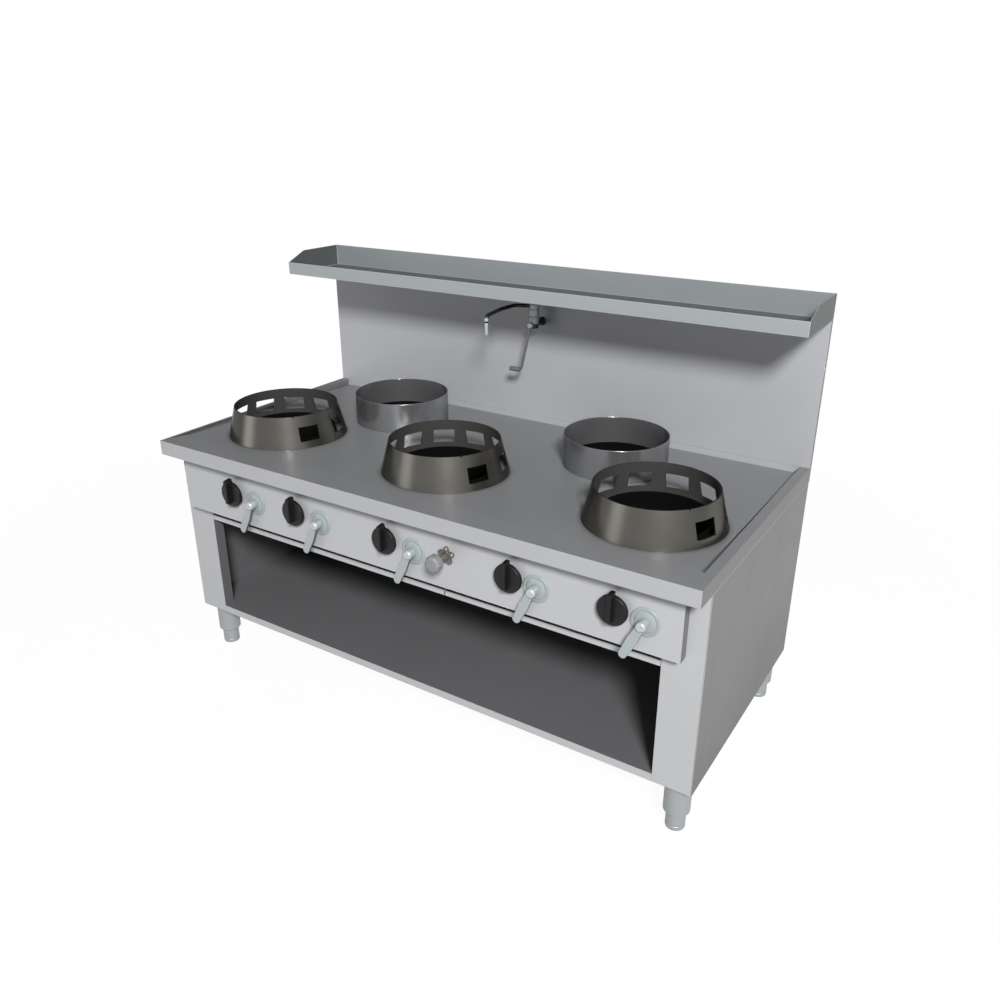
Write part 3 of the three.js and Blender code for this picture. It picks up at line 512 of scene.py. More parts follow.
def join_rings(shape, rings):
    """Adds the faces between each ring of points and the next; a ring can be a single point."""
    for low, high in zip(rings, rings[1:]):
        for step in range(max(len(low), len(high))):
            corners = list(dict.fromkeys([
                low[step % len(low)], low[(step + 1) % len(low)],
                high[(step + 1) % len(high)], high[step % len(high)]]))
            if len(corners) > 2:
                shape.faces.new(corners)


def join_and_cap(shape, rings):
    join_rings(shape, rings)
    shape.faces.new(rings[0])
    shape.faces.new(rings[-1])


def add_turned(shape, profile, foot, axis, sides=64):
    """Adds what a profile of (radius, height) in millimetres makes about an axis through foot."""
    across = axis.orthogonal().normalized()
    rings = [add_ring(shape, foot + axis * height * mm, axis, across, radius * mm,
                      sides if radius > 0 else 1) for radius, height in profile]
    join_rings(shape, [*rings, rings[0]])


def rounded_path(corners, bend, steps=8):
    """The corners of a run, with each inner corner rounded over the length of its bend."""
    path = [corners[0]]
    for before, corner, after in zip(corners, corners[1:], corners[2:]):
        enter = corner + (before - corner).normalized() * bend
        leave = corner + (after - corner).normalized() * bend
        for step in range(steps + 1):
            share = step / steps
            path.append(enter.lerp(corner, share).lerp(corner.lerp(leave, share), share))
    return path + [corners[-1]]


def add_swept(shape, path, radius, sides=24):
    """Adds a round bar along a path."""
    rings = []
    across = (path[1] - path[0]).orthogonal().normalized()
    for step, point in enumerate(path):
        ahead = path[min(step + 1, len(path) - 1)] - path[max(step - 1, 0)]
        ahead.normalize()
        across = (across - ahead * across.dot(ahead)).normalized()
        rings.append(add_ring(shape, point, ahead, across, radius, sides))
    join_and_cap(shape, rings)


def add_loft(shape, outline, sections, foot):
    """Adds a solid that passes through an outline at each (distance forward, scale).

    The outline is in X and Z about foot, and both it and the distances are in millimetres.
    """
    join_and_cap(shape, [
        [shape.verts.new(foot + Vector((x * scale, -ahead, z * scale)) * mm) for x, z in outline]
        for ahead, scale in sections])


def arc(middle_x, middle_z, radius, start, stop, steps=12):
    """Points of an arc in X and Z; its angles are in degrees, from +X towards +Z."""
    angles = [math.radians(start + (stop - start) * step / steps) for step in range(steps + 1)]
    return [(middle_x + radius * math.cos(angle), middle_z + radius * math.sin(angle))
            for angle in angles]


# %% [markdown]
# ## The wok rings
# A wok ring is a short cone of iron with openings all round, so that the flame gets its air. Each
# is one rule: a wall carried round a circle, less seven windows, a notch in the rim, and what lies
# below the sloping deck. Geometry Nodes hold that rule with its sizes as inputs, and one tree
# makes all three rings. The points of the base mesh say which way each window looks.

# %% A tree for the wok rings
def new_tree(name, sizes):
    """A geometry tree with one named input for each size."""
    tree = bpy.data.node_groups.new(name, "GeometryNodeTree")
    for way in ("INPUT", "OUTPUT"):
        tree.interface.new_socket("Geometry", in_out=way, socket_type="NodeSocketGeometry")
    kinds = {int: "Int", float: "Float", tuple: "Vector"}
    for size, value in sizes.items():
        kind = "NodeSocket" + kinds[type(value)]
        tree.interface.new_socket(size, in_out="INPUT", socket_type=kind).default_value = value
    graph = Graph(tree)
    entry = tree.nodes.new("NodeGroupInput")
    wires = {size: Wire(graph, entry.outputs[size]) for size in sizes}
    return graph, Wire(graph, entry.outputs["Geometry"]), wires


def end_tree(graph, geometry, material):
    """Every tree ends the same way: real geometry, with its material."""
    real = graph.node("GeometryNodeRealizeInstances", {"Geometry": geometry})
    painted = graph.node("GeometryNodeSetMaterial", {"Geometry": real, "Material": material})
    leave = graph.tree.nodes.new("NodeGroupOutput")
    graph.tree.links.new(painted.socket, leave.inputs["Geometry"])


def grow(graph, points, sizes=None):
    """Runs a tree on a base mesh of points, and gives the shape it makes as plain mesh."""
    base = bpy.data.meshes.new("base")
    base.from_pydata(points, [], [])
    holder = add_object("holder", base)
    modifier = holder.modifiers.new("tree", "NODES")
    modifier.node_group = graph.tree
    inputs = {item.name: item.identifier for item in graph.tree.interface.items_tree}
    for size, value in (sizes or {}).items():
        modifier[inputs[size]] = value
    seen = holder.evaluated_get(bpy.context.evaluated_depsgraph_get())
    mesh = bpy.data.meshes.new_from_object(seen)
    bpy.data.objects.remove(holder)
    shape = bmesh.new()
    shape.from_mesh(mesh)
    bpy.data.meshes.remove(mesh)
    return shape


def vector(graph, x=0.0, y=0.0, z=0.0):
    return graph.node("ShaderNodeCombineXYZ", {"X": x, "Y": y, "Z": z})


def cube(graph, *sides):
    return graph.node("GeometryNodeMeshCube", {"Size": vector(graph, *sides)})


def moved(graph, geometry, **move):
    """Moves or turns geometry by a Translation, a Rotation or both."""
    return graph.node("GeometryNodeTransform", {"Geometry": geometry, **move})


def pointing(graph, axis, direction):
    """The turn that points one axis of an instance in a direction."""
    return graph.node("FunctionNodeAlignRotationToVector", {"Vector": direction}, axis=axis)


def set_out(graph, points, instance, **turn):
    """Puts one instance at every point."""
    return graph.node("GeometryNodeInstanceOnPoints", {
        "Points": points, "Instance": instance, **turn})


def carve(graph, solid, tools, crossing=False):
    """Cuts all the tools out of a solid; crossing allows for tools that overlap."""
    joined = graph.tree.nodes.new("GeometryNodeJoinGeometry")
    for tool in tools:
        graph.tree.links.new(tool.socket, joined.inputs[0])
    cutter = graph.node("GeometryNodeRealizeInstances", {
        "Geometry": Wire(graph, joined.outputs[0])})
    return graph.node("GeometryNodeMeshBoolean", {
        "Mesh 1": solid, "Mesh 2": cutter, "Self Intersection": crossing},
        operation="DIFFERENCE", solver="EXACT")


ring_height = 108
ring_drop = 10
ring_tree, window_points, size = new_tree("wok_ring", {
    "Base Radius": ring_foot, "Top Radius": 176 * mm, "Height": ring_height * mm, "Wall": 4 * mm,
    "Window Width": 69 * mm, "Window Height": 48 * mm, "Sill": 24 * mm, "Deck Slope": deck_slope,
    "Notch": 4 * mm, "Notch Azimuth": 0.0})

lean = (size["Base Radius"] - size["Top Radius"]) * (ring_drop / ring_height)
skirt = size["Base Radius"] + lean
around = ring_tree.node("GeometryNodeCurvePrimitiveCircle", {"Resolution": 144, "Radius": skirt})
inward = size["Top Radius"] - skirt
wall = ring_tree.node("GeometryNodeCurvePrimitiveQuadrilateral", {
    "Point 1": vector(ring_tree, 0.0, ring_drop * mm),
    "Point 2": vector(ring_tree, 0.0 - size["Wall"], ring_drop * mm),
    "Point 3": vector(ring_tree, inward - size["Wall"], 0.0 - size["Height"]),
    "Point 4": vector(ring_tree, inward, 0.0 - size["Height"])}, mode="POINTS")
cone = ring_tree.node("GeometryNodeCurveToMesh", {"Curve": around, "Profile Curve": wall})
blocks = set_out(
    ring_tree, window_points,
    cube(ring_tree, 90 * mm, size["Window Width"], size["Window Height"]),
    Rotation=pointing(ring_tree, "X", ring_tree.node("GeometryNodeInputPosition")))
windows = moved(ring_tree, blocks, Translation=vector(
    ring_tree, z=size["Sill"] + size["Window Height"] * 0.5))
notch = moved(ring_tree, cube(ring_tree, 30 * mm, size["Notch"], size["Notch"] * 2),
              Translation=vector(ring_tree, x=size["Top Radius"]))
notch = moved(ring_tree, notch, Translation=vector(ring_tree, z=size["Height"]),
              Rotation=vector(ring_tree, z=size["Notch Azimuth"]))
below = moved(ring_tree, cube(ring_tree, 0.6, 0.6, 0.2),
              Translation=vector(ring_tree, z=joint_gap - 0.1))
below = moved(ring_tree, below, Rotation=vector(ring_tree, x=0.0 - size["Deck Slope"]))
end_tree(ring_tree, carve(ring_tree, cone, (windows, notch, below)), ring_iron)

# %% [markdown]
# The flame burns the inside of a ring matt, while the outside is wiped and stays smooth.

# %% Make the three wok rings
def faces_axis(face, foot):
    inward = foot - face.calc_center_median()
    inward.z = 0
    return int(face.normal.dot(inward.normalized()) > 0.5)


notch_azimuth = math.radians(-38)
window_azimuths = [-23, 18.5, 60, 93.5, 127, 160.5, 194]
wall_middle = 190 * mm
window_looks = [(wall_middle * math.cos(turn), wall_middle * math.sin(turn), 0)
                for turn in map(math.radians, window_azimuths)]
for name in wok_rings:
    shape = grow(ring_tree, window_looks, {"Notch Azimuth": notch_azimuth})
    bmesh.ops.translate(shape, verts=shape.verts, vec=on_deck(name))
    for face in shape.faces:
        face.material_index = faces_axis(face, on_deck(name))
    piece = finish_piece(f"{name}_iron", shape, name, [ring_iron, burnt_iron], 1)
    print(name, len(piece.data.polygons), "faces")

# %% [markdown]
# ## The pot rings
# The rear burners carry a plain tube of thinner steel. It is turned, and its foot is laid on the
# slope of the deck by moving each foot point up or down.

# %% Make the two pot rings
pot_low, pot_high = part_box("pot_ring_left")
pot_radius = (pot_high.x - pot_low.x) / 2 / mm
pot_wall = 3
for name in pot_rings:
    shape = bmesh.new()
    foot = on_deck(name)
    add_turned(shape, [
        (pot_radius, 0), (pot_radius, ring_height), (pot_radius - pot_wall, ring_height),
        (pot_radius - pot_wall, 0)], foot, up, sides=128)
    for vert in shape.verts:
        if vert.co.z < foot.z + ring_height * mm / 2:
            vert.co.z = deck_height(vert.co.y) + joint_gap
    finish_piece(f"{name}_tube", shape, name, [pot_ring_steel], 0.9)
print("pot rings, radius", round(pot_radius), "mm")

# %% [markdown]
# ## Wells and burners
# Under each ring hangs a can that catches what boils over, and in it stands a cast burner. Both
# are turned. The can's collar stands proud of the deck and a thin bead seals the gap, square to
# the deck's slope. The ports of all five burners come from one tree: a circle of short barrels at
# every point.

# %% Turn the wells and the burners
well_radius = 163
inner = well_radius - 3
collar = 20
flange = well_radius + 22
throat = 27
for number, name in zip(numbers, ring_names):
    deck = on_deck(name)
    node = f"burner_well_{number}"
    under = (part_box(node)[0].z - deck.z) / mm
    shape = bmesh.new()
    add_turned(shape, [
        (throat, under), (well_radius - 8, under), (well_radius, under + 8), (well_radius, collar),
        (inner, collar), (inner, under + 11), (inner - 8, under + 3), (throat, under + 3)],
        deck, up, sides=96)
    add_turned(shape, [
        (well_radius, -2.6), (flange, -2.6), (flange, -4), (well_radius, -4)],
        deck, deck_normal, sides=96)
    add_turned(shape, [
        (well_radius, 0.1), (well_radius + 6, 0.1), (well_radius + 4, 1.6), (well_radius, 2.4)],
        deck, deck_normal, sides=96)
    finish_piece(f"{node}_can", shape, node, [soot_iron], 0.5)

head_radius = 66
burner_height = 88
burner_heads = []
for number in numbers:
    node = f"burner_{number}"
    low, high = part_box(node)
    middle = centre(node)
    foot = Vector((middle.x, middle.y, high.z - burner_height * mm))
    stub = (low.z - foot.z) / mm
    shape = bmesh.new()
    add_turned(shape, [
        (0, stub), (22, stub), (24, 0), (58, 0), (58, 7), (34, 12), (30, 18), (30, 42), (38, 50),
        (head_radius, 58), (head_radius, 78), (52, 87), (20, burner_height), (0, burner_height)],
        foot, up, sides=72)
    finish_piece(f"{node}_casting", shape, node, [burner_iron], 0.8)
    burner_heads.append(foot + up * 68 * mm)

# %% Ring every burner's head with ports
port_tree, heads, size = new_tree("flame_ports", {
    "Head Radius": head_radius * mm, "Ports": 28, "Port Radius": 2.4 * mm, "Port Length": 4 * mm})
circle = port_tree.node("GeometryNodeMeshCircle", {
    "Vertices": size["Ports"], "Radius": size["Head Radius"]})
barrel = port_tree.node("GeometryNodeMeshCylinder", {
    "Vertices": 8, "Radius": size["Port Radius"], "Depth": size["Port Length"]})
ring_of_ports = set_out(
    port_tree, circle, barrel,
    Rotation=pointing(port_tree, "Z", port_tree.node("GeometryNodeInputPosition")))
end_tree(port_tree, set_out(port_tree, heads, ring_of_ports), soot_iron)
shape = grow(port_tree, burner_heads)
finish_piece("burner_ports", shape, "burner_1", [soot_iron], None)
print("ports on", len(burner_heads), "burners")

# %% [markdown]
# ## Knobs
# A knob is moulded in black heat-proof plastic: a round skirt, and across it a tall bar to grip.
# The bar runs on past the top of the skirt, and that end shows the setting. The skirt is turned.
# The bar is lofted, a little narrower in front than behind, because a mould needs that draft to
# let it go.

# %% Mould the five knobs
knob_radius = 44
grip_depth = 18
pointer = 57
half_grip = 6.5
tail = 30


def rounded_box(low_x, high_x, low_z, high_z, radius):
    """The outline of a box in X and Z with round corners."""
    return (arc(high_x - radius, high_z - radius, radius, 0, 90, 4)
            + arc(low_x + radius, high_z - radius, radius, 90, 180, 4)
            + arc(low_x + radius, low_z + radius, radius, 180, 270, 4)
            + arc(high_x - radius, low_z + radius, radius, 270, 360, 4))


for number in numbers:
    node = f"knob_{number}"
    axis = axis_of[f"knob_{number}_turn"]
    skirt_front = in_line(axis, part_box(node)[0].y + grip_depth * mm)
    shape = bmesh.new()
    add_turned(shape, [
        (0, -90), (5, -90), (5, -14), (knob_radius - 2, -14), (knob_radius, -12), (knob_radius, -4),
        (knob_radius - 1.4, -1.4), (knob_radius - 5, 0), (0, 1)], skirt_front, forward, sides=72)
    add_loft(shape, rounded_box(-half_grip, half_grip, -tail, pointer, 2.5), [
        (-9, 1), (0, 1), (grip_depth - 2, 0.95), (grip_depth, 0.9)], skirt_front)
    finish_piece(f"{node}_moulding", shape, node, [black_plastic], 1.0)
print("knobs at", [round(axis_of[f"knob_{number}_turn"].x, 3) for number in numbers])

# %% [markdown]
# ## Gas levers
# Each lever is a flat tapered arm, pressed over a round hub, which turns in front of a dished
# rosette. The arm is a plate cut to an outline that is leaned over about the lever's own axis. Its
# face is polished; the front of its hub gets a brighter steel as a painted highlight, and its edge
# all round gets a dark steel as painted shade.

# %% Make the five levers and their rosettes
lever_lean = math.radians(25)
lever_reach = 118
arm_behind_hub = 6
straight = [
    (11, 0), (15, -52), *arc(0, 12 - lever_reach, 12, 0, -180), (-15, -52), (-11, 0),
    *arc(0, 0, 11, 170, 10, 8)]
outline = [(x * math.cos(lever_lean) + z * math.sin(lever_lean),
            z * math.cos(lever_lean) - x * math.sin(lever_lean)) for x, z in straight]
for number in numbers:
    node = f"lever_{number}"
    axis = axis_of[f"lever_{number}_swing"]
    low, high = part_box(node)
    hub_front = in_line(axis, low.y)
    shape = bmesh.new()
    add_loft(shape, outline, [(-arm_behind_hub - 8, 1), (-arm_behind_hub, 1)], hub_front)
    hub_back = (low.y - panel_front) / mm + 8
    spindle_back = (low.y - high.y) / mm
    add_turned(shape, [
        (0, 0), (11, 0), (14, -3), (15, -6), (15, hub_back), (6, hub_back), (6, spindle_back),
        (0, spindle_back)], hub_front, forward, sides=48)
    shape.normal_update()
    # Painted light: the front of the hub gets the bright steel as a painted highlight, and the
    # arm's edge faces get the dark steel as painted shade.
    for face in shape.faces:
        spot = face.calc_center_median() - hub_front
        if math.hypot(spot.x, spot.z) < 15.5 * mm:
            face.material_index = int(spot.y < (arm_behind_hub - 1) * mm)
        elif abs(face.normal.y) < 0.5:
            face.material_index = 2
    finish_piece(f"{node}_arm", shape, node,
                 [lever_steel, bright_and_highlight_steel, edge_shade_steel], 0.9)

    rosette = f"lever_escutcheon_{number}"
    back = in_line(axis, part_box(rosette)[1].y)
    shape = bmesh.new()
    add_turned(shape, [
        (6.4, 0), (42, 0), (42, 2), (40, 3.6), (35, 4), (33, 3), (31, 3), (29, 4.4), (22, 6.8),
        (6.4, 6.8)], back, forward, sides=72)
    finish_piece(f"{rosette}_dish", shape, rosette, [polished_steel], 0.3)
print("levers lean", round(math.degrees(lever_lean)), "degrees")

# %% [markdown]
# ## The water tap on the panel
# A lobed casting holds the tap to the panel, and its nut carries a round hand wheel. The lobes are
# one formula: a radius that swells and shrinks as it goes round. Behind the panel one pipe brings
# water from the rear wall, and another takes it up inside the splashback to the swing tap.

# %% Cast the water tap
tap_axis = axis_of["water_tap_turn"]
tap_low, tap_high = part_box("water_tap")
handle_low, handle_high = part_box("water_tap_handle")


def lobed(radius, depth, lobes, turned=0.0, steps=72):
    """A round outline in X and Z that swells out into lobes."""
    turns = [2 * math.pi * step / steps for step in range(steps)]
    reaches = [radius + depth * math.cos(lobes * (turn - turned)) for turn in turns]
    return [(reach * math.cos(turn), reach * math.sin(turn)) for turn, reach in zip(turns, reaches)]


at_panel = in_line(tap_axis, panel_front)
shape = bmesh.new()
add_loft(shape, lobed(24, 5, 5, math.radians(90)), [(0.3, 1), (8, 1), (12, 0.86)], at_panel)
add_loft(shape, lobed(15, 0, 1, steps=6), [(11, 1), (22, 1), (23, 0.93)], at_panel)
add_turned(shape, [
    (0, -50), (10, -50), (10, 12), (12, 20), (12, 33), (10, 34), (0, 34)], at_panel, forward, 32)
add_loft(shape, rounded_box(-16, 16, -15, 15, 4), [(-46, 1), (-89, 1)], at_panel)
finish_piece("water_tap_casting", shape, "water_tap", [bronze_grey])

# %% Turn its hand wheel
wheel_front = in_line(tap_axis, handle_low.y)
spindle = (handle_high.y - handle_low.y) / mm
shape = bmesh.new()
add_loft(shape, lobed(25.2, 0.8, 10), [
    (-30, 0.86), (-26, 1), (-8, 1), (-3, 0.93), (-0.6, 0.8), (-0.2, 0.5)], wheel_front)
add_turned(shape, [
    (0, -spindle), (5, -spindle), (5, 0), (0, 0)], wheel_front - forward * mm, forward, sides=24)
finish_piece("water_tap_wheel", shape, "water_tap_handle", [wheel_steel],
             0.5, smooth=50)

# %% Bend its two pipes
pipe = 5 * mm
riser = Vector((tap_axis.x, tap_high.y - 9.2 * mm, 0))
supply = Vector((tap_axis.x - 10 * mm, panel_front + 70 * mm, tap_low.z + pipe))
delivery = [
    in_line(tap_axis, panel_front + 84 * mm), in_line(tap_axis, riser.y),
    Vector((riser.x, riser.y, tap_high.z - pipe)), Vector((tap_low.x, riser.y, tap_high.z - pipe))]
inlet = [Vector((supply.x, supply.y, tap_axis.z)), supply, Vector((supply.x, tap_high.y, supply.z))]
shape = bmesh.new()
for run in (delivery, inlet):
    add_swept(shape, rounded_path(run, 18 * mm), pipe, 16)
finish_piece("water_tap_pipes", shape, "water_tap", [pipe_steel], None)
print("the water rises", round(tap_high.z - tap_axis.z, 3), "m to the swing tap")

# %% [markdown]
# ## The swing tap
# The tap hangs under the shelf from an elbow in the splashback, so it has a short upright body, a
# swivel with the spout on top, and a long lever in front that the back of a busy hand can push.
# The body is turned, and spout and lever are bars swept along a path whose corners are rounded.

# %% Turn the body with its elbow
swivel = axis_of["spout_swing"]
push = axis_of["tap_lever_swing"]
body_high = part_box("swing_tap_body")[1]
foot = Vector((swivel.x, swivel.y, push.z - 14 * mm))
body_top = (body_high.z - foot.z) / mm
shape = bmesh.new()
add_turned(shape, [
    (0, 16), (16, 16), (18, 18), (18, 38), (16.6, 39.5), (16.6, 43), (18, 44.5), (18, body_top),
    (0, body_top)], foot, up, sides=48)
finish_piece("swing_tap_barrel", shape, "swing_tap_body", [tap_steel])
shape = bmesh.new()
add_turned(shape, [(0, 0), (14, 0), (16, 2), (16, 16.4), (0, 16.4)], foot, up, sides=48)
add_turned(shape, [
    (0, 0), (11, 0), (11, 40), (12, 50), (12, 53), (14, 54), (15, 56), (15, 58.6), (11, 58.6),
    (11, 72), (0, 72)], Vector((swivel.x, swivel.y, push.z)), -forward, sides=48)
# The elbow's dark chrome is painted shade.
finish_piece("swing_tap_elbow", shape, "swing_tap_body", [shaded_chrome])

# %% Bend the spout
spout_low, spout_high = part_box("swing_tap_spout")
bar_radius = 6.5 * mm
collar_depth = 24
nozzle = Vector((-66 * mm, spout_low.y + bar_radius, spout_low.z))
elbow_x = -70 * mm
spout_path = rounded_path([
    Vector((swivel.x, swivel.y, spout_high.z - 14 * mm)),
    Vector((elbow_x, swivel.y - 28 * mm, spout_high.z - 12 * mm)),
    Vector((elbow_x, swivel.y - 120 * mm, spout_high.z - 11 * mm)),
    Vector((nozzle.x, nozzle.y, spout_high.z - 17 * mm)), nozzle + up * 40 * mm], 16 * mm)
shape = bmesh.new()
add_swept(shape, spout_path, bar_radius)
bar_faces = len(shape.faces)
add_turned(shape, [
    (0, 0), (16, 0), (17, 1.5), (17, 17), (14, 22), (6, collar_depth), (0, collar_depth)],
    Vector((swivel.x, swivel.y, spout_high.z - collar_depth * mm)), up, sides=48)
shape.faces.ensure_lookup_table()
for face in shape.faces[bar_faces:]:
    face.material_index = 1
# The spout's bar gets the dark chrome as painted shade under the shelf; its collar keeps the tap
# steel.
finish_piece("swing_tap_pipe", shape, "swing_tap_spout", [shaded_chrome, tap_steel],
             0.5, smooth=50)
shape = bmesh.new()
length = (spout_high.z - spout_low.z) / mm - collar_depth
add_turned(shape, [
    (3.4, 0), (4.2, 0), (4.4, 1), (5.2, 16), (6.8, length - 2), (6, length), (0, length), (0, 6),
    (3.4, 6)], nozzle, up, sides=32)
finish_piece("swing_tap_nozzle", shape, "swing_tap_spout", [bright_and_highlight_steel], 0.3)

# %% Make the long lever
lever_low, lever_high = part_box("swing_tap_lever")
knee = Vector((push.x - 36 * mm, push.y, lever_low.z + 12.5 * mm))
grip_end = Vector((lever_low.x, push.y, lever_low.z + 8.5 * mm))
stalk = rounded_path([push, knee, grip_end + Vector((8 * mm, 0, 0))], 9 * mm)
shape = bmesh.new()
add_swept(shape, stalk, 4.6 * mm, 16)
finish_piece("swing_tap_stalk", shape, "swing_tap_lever", [pipe_steel], 0.4,
             smooth=50)
shape = bmesh.new()
depth = (lever_high.y - lever_low.y) / mm
add_turned(shape, [
    (0, 0), (7.5, 0), (9.5, 2), (9.5, 12), (6, 12), (6, depth), (0, depth)],
    in_line(push, lever_low.y), -forward, sides=40)
# The hub's bright steel is a painted highlight.
finish_piece("swing_tap_hub", shape, "swing_tap_lever", [bright_and_highlight_steel], 0.5)
shape = bmesh.new()
add_turned(shape, [
    (0, 0), (6.5, 0), (8.5, 2), (8.5, 37), (7, 40), (0, 40)], grip_end, Vector((1, 0, 0)), sides=32)
finish_piece("swing_tap_grip", shape, "swing_tap_lever", [grip_grey], 0.5)
print("the lever reaches down", round(push.z - lever_low.z, 3), "m")

# %% [markdown]
# ## Bottom shelf, legs and feet
# The bottom shelf is one sheet with all its edges folded down, cut away at the posts. Its top face
# and its skirt are drawn as one thin skin, and solidify then gives that skin the sheet's
# thickness. Four sleeves are welded under it, and a foot slides in each, so that the range stands
# level.

# %% Fold the bottom shelf
sheet = 1.2 * mm
skirt_depth = 26 * mm
shelf_low, shelf_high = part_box("bottom_shelf")
post_low, post_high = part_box("front_post_right")
post_inner = post_low.x - joint_gap
behind_posts = post_high.y + joint_gap
plan = [
    (-post_inner, shelf_low.y), (post_inner, shelf_low.y), (post_inner, behind_posts),
    (shelf_high.x, behind_posts), (shelf_high.x, shelf_high.y), (shelf_low.x, shelf_high.y),
    (shelf_low.x, behind_posts), (-post_inner, behind_posts)]
shape = bmesh.new()
rim = [shape.verts.new((x, y, shelf_high.z)) for x, y in plan]
hem = [shape.verts.new((x, y, shelf_high.z - skirt_depth)) for x, y in plan]
shape.faces.new(rim)
join_rings(shape, [hem, rim])
bmesh.ops.recalc_face_normals(shape, faces=shape.faces)
top_face = max(shape.faces, key=lambda face: face.calc_center_median().z)
if top_face.normal.z < 0:
    bmesh.ops.reverse_faces(shape, faces=shape.faces)
bmesh.ops.solidify(shape, geom=shape.faces, thickness=sheet)
# The shelf's top lies inside the cabinet, so it gets the darker inner steel as painted shade.
for face in shape.faces:
    face.material_index = looks_up(face)
finish_piece("bottom_shelf_sheet", shape, "bottom_shelf",
             [post_steel, inner_shade_steel])
print("shelf", round(shelf_high.x - shelf_low.x, 3), "m wide")

# %% Turn the leg sleeves and the feet
sleeve_radius = 39
foot_radius = 29
feet = [f"foot_{end}_{side}" for end in ("front", "rear") for side in ("left", "right")]
shape = bmesh.new()
for node in feet:
    low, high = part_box(node)
    middle = centre(node)
    ground = Vector((middle.x, middle.y, low.z))
    sleeve_top = (shelf_high.z - sheet - low.z) / mm
    sleeve_foot = (shelf_low.z - low.z) / mm
    add_turned(shape, [
        (foot_radius + 1, sleeve_foot), (sleeve_radius - 2, sleeve_foot),
        (sleeve_radius, sleeve_foot + 3), (sleeve_radius, sleeve_top),
        (foot_radius + 1, sleeve_top)], ground, up, sides=72)
    own = bmesh.new()
    stem = (high.z - low.z) / mm
    add_turned(own, [
        (0, 0), (foot_radius - 4, 0), (foot_radius - 1, 1.5), (foot_radius, 5), (foot_radius, 14),
        (foot_radius - 1.2, 15.5), (foot_radius - 1.2, 18), (foot_radius, 19.5),
        (foot_radius, stem), (0, stem)], ground, up)
    finish_piece(f"{node}_turned", own, node, [foot_steel], 0.5)
finish_piece("leg_sleeves", shape, "bottom_shelf", [foot_steel], 0.6)
print("feet", len(feet))

# %% [markdown]
# ## Screws on the rear
# The rear panel comes off for service, so screws hold it all round. One tree cuts a cross into one
# head and sets it at every point of a base mesh, so the rows are only a list of places. The two
# arms of the cross overlap, so the Boolean node has to allow for a cutter that crosses itself.

# %% A tree for rows of screws
screw_tree, places, size = new_tree("screws", {
    "Head Radius": 5 * mm, "Head Height": 2 * mm, "Slot Width": 1.1 * mm,
    "Facing": (0.0, 1.0, 0.0)})
blank = screw_tree.node("GeometryNodeMeshCone", {
    "Vertices": 16, "Radius Top": size["Head Radius"] * 0.7, "Radius Bottom": size["Head Radius"],
    "Depth": size["Head Height"]})
slot_length = size["Head Radius"] * 1.1
slots = [
    moved(screw_tree, cube(screw_tree, along, across, size["Head Height"]),
          Translation=vector(screw_tree, z=size["Head Height"]))
    for along, across in ((slot_length, size["Slot Width"]), (size["Slot Width"], slot_length))]
head = carve(screw_tree, blank, slots, crossing=True)
heads = set_out(screw_tree, places, head, Rotation=pointing(screw_tree, "Z", size["Facing"]))
end_tree(screw_tree, heads, bright_and_highlight_steel)

# %% Screw the rear panel down
back_low, back_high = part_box("cabinet_back")
inset = 22 * mm
columns = 9
rows = 4
screw_places = []
for column in range(columns):
    for row in range(rows):
        if column in (0, columns - 1) or row in (0, rows - 1):
            across = column / (columns - 1)
            above = row / (rows - 1)
            screw_places.append(Vector((
                back_low.x + inset + across * (back_high.x - back_low.x - 2 * inset), back_high.y,
                back_low.z + inset + above * (back_high.z - back_low.z - 2 * inset))))
shape = grow(screw_tree, screw_places)
finish_piece("rear_screws", shape, "cabinet_back", [bright_and_highlight_steel], None)
print("screws", len(screw_places))

# %% [markdown]
# ## Light and floor
# The photograph has a white ground and one large soft lamp, high in front and to the right: the
# edge of the shadow that the upper shelf throws on the splashback tells its height, its side and
# its size. The ground stays white because the camera and gloss see its own glow, while what the
# floor gives back to the range stays at a plain level. Near the range the glow is weaker, so that
# a shadow shows.

# %% Build the floor
reach = 14
floor_mesh = bpy.data.meshes.new("floor")
floor_mesh.from_pydata(
    [(-reach, -reach, 0), (reach, -reach, 0), (reach, reach, 0), (-reach, reach, 0)],
    [], [(0, 1, 2, 3)])
floor = add_object("floor", floor_mesh)
floor_grey = 0.25
near, far = 2.2, 5.0
pale = bpy.data.materials.new("floor_white")
pale.use_nodes = True
graph = Graph(pale.node_tree)
surface = graph.tree.nodes["Principled BSDF"]
graph.feed(surface.inputs["Base Color"], (floor_grey,) * 3)
surface.inputs["Roughness"].default_value = 0.9
seen = graph.ray("Camera") + graph.ray("Glossy") + graph.ray("Transmission")
place = graph.node("ShaderNodeTexCoord", output="Object")
distance = graph.measure("LENGTH", place)
glow = graph.node("ShaderNodeEmission", {
    "Color": (1, 1, 1), "Strength": graph.spread(distance, near, far, 1.12, 1.0)})
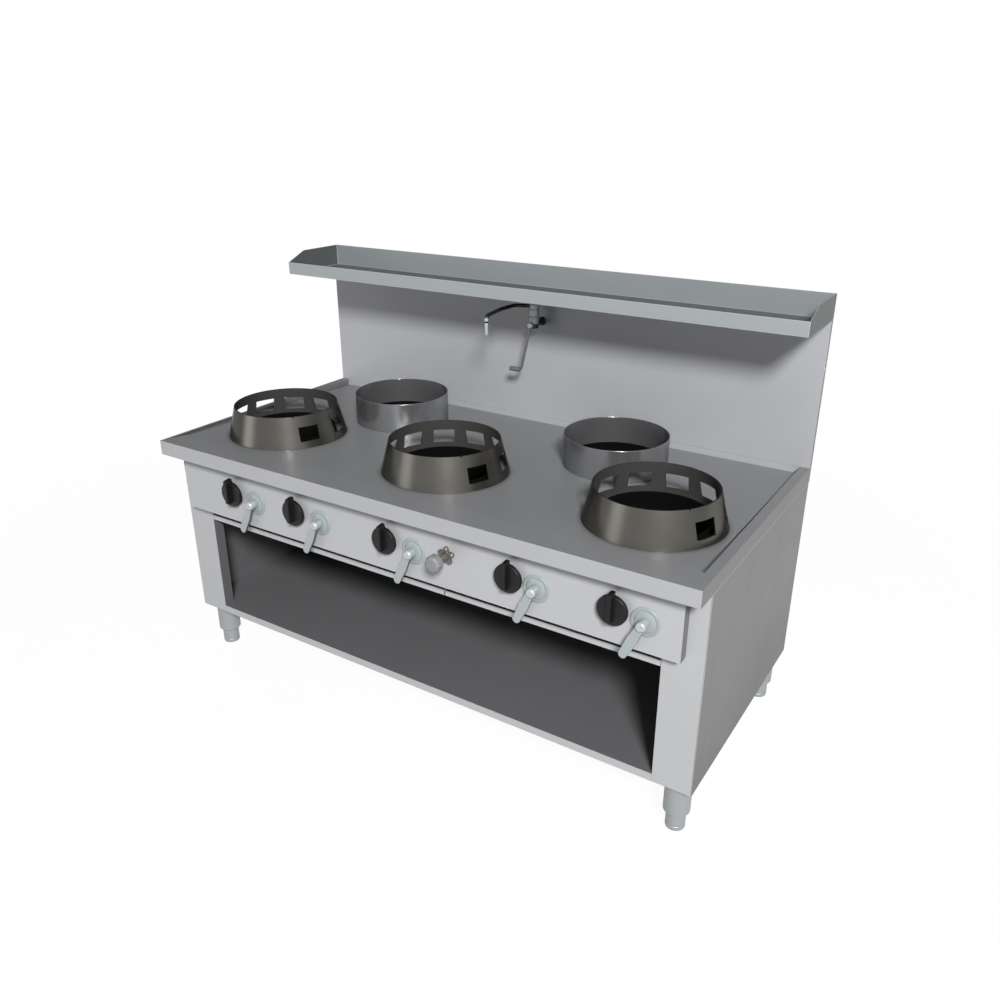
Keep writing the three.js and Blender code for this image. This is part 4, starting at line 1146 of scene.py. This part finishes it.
blend = graph.node("ShaderNodeMixShader", {
    0: seen * graph.spread(distance, near, far, 0.85, 1.0),
    1: Wire(graph, surface.outputs[0]), 2: glow})
graph.tree.links.new(blend.socket, graph.tree.nodes["Material Output"].inputs["Surface"])
floor_mesh.materials.append(pale)
print("floor", 2 * reach, "m wide")

# %% [markdown]
# The world gives a plain soft light from all sides. Gloss sees more in it: the room is lighter in
# front than behind, and a narrow bright lamp on the left draws the upright line of light on each
# ring. The light that falls on matt faces is a little stronger from behind, or the rear panel
# would be lost.

# %% Build the world
ambient = 0.2
ambient_behind = 0.7
strip_side = Vector((-0.66, -0.75, 0.1)).normalized()
front_side = Vector((0.3, -0.95, 0.0)).normalized()
world = bpy.data.worlds.new("studio")
scene.world = world
world.use_nodes = True
graph = Graph(world.node_tree)
direct = graph.ray("Camera") + graph.ray("Transmission")
gloss = graph.ray("Glossy")
around = graph.node("ShaderNodeTexCoord", output="Generated")
towards_strip = graph.measure("DOT_PRODUCT", around, strip_side)
towards_front = graph.measure("DOT_PRODUCT", around, front_side)
studio = (graph.spread(towards_front, -0.2, 0.7, 0.15, 0.65)
          + graph.spread(towards_strip, 0.96, 0.995, 0.0, 1.8))
room = graph.spread(towards_front, -1.0, -0.2, ambient_behind, ambient)
background = graph.tree.nodes["Background"]
graph.feed(background.inputs["Color"], (1, 1, 1))
graph.feed(background.inputs["Strength"], direct + gloss * studio + (1 - direct - gloss) * room)
print("world ready")

# %% Hang the lamp
shadow_place = Vector((0.6, splash_face, 1.2))
key_side = Vector((0.485, -0.703, 0.52)).normalized()
key_distance = 10.0
aim = Vector((0.2, 0.0, 0.8))
key = bpy.data.lights.new("key", "AREA")
key.shape = "DISK"
key.size = key_distance * 2 * math.tan(math.radians(11) / 2)
key.energy = 1500
key_holder = add_object("key", key)
key_holder.location = shadow_place + key_side * key_distance
key_holder.rotation_euler = (aim - key_holder.location).to_track_quat("-Z", "Y").to_euler()
scene.view_settings.view_transform = "Standard"
print("lamp", round(key.size, 2), "m wide")
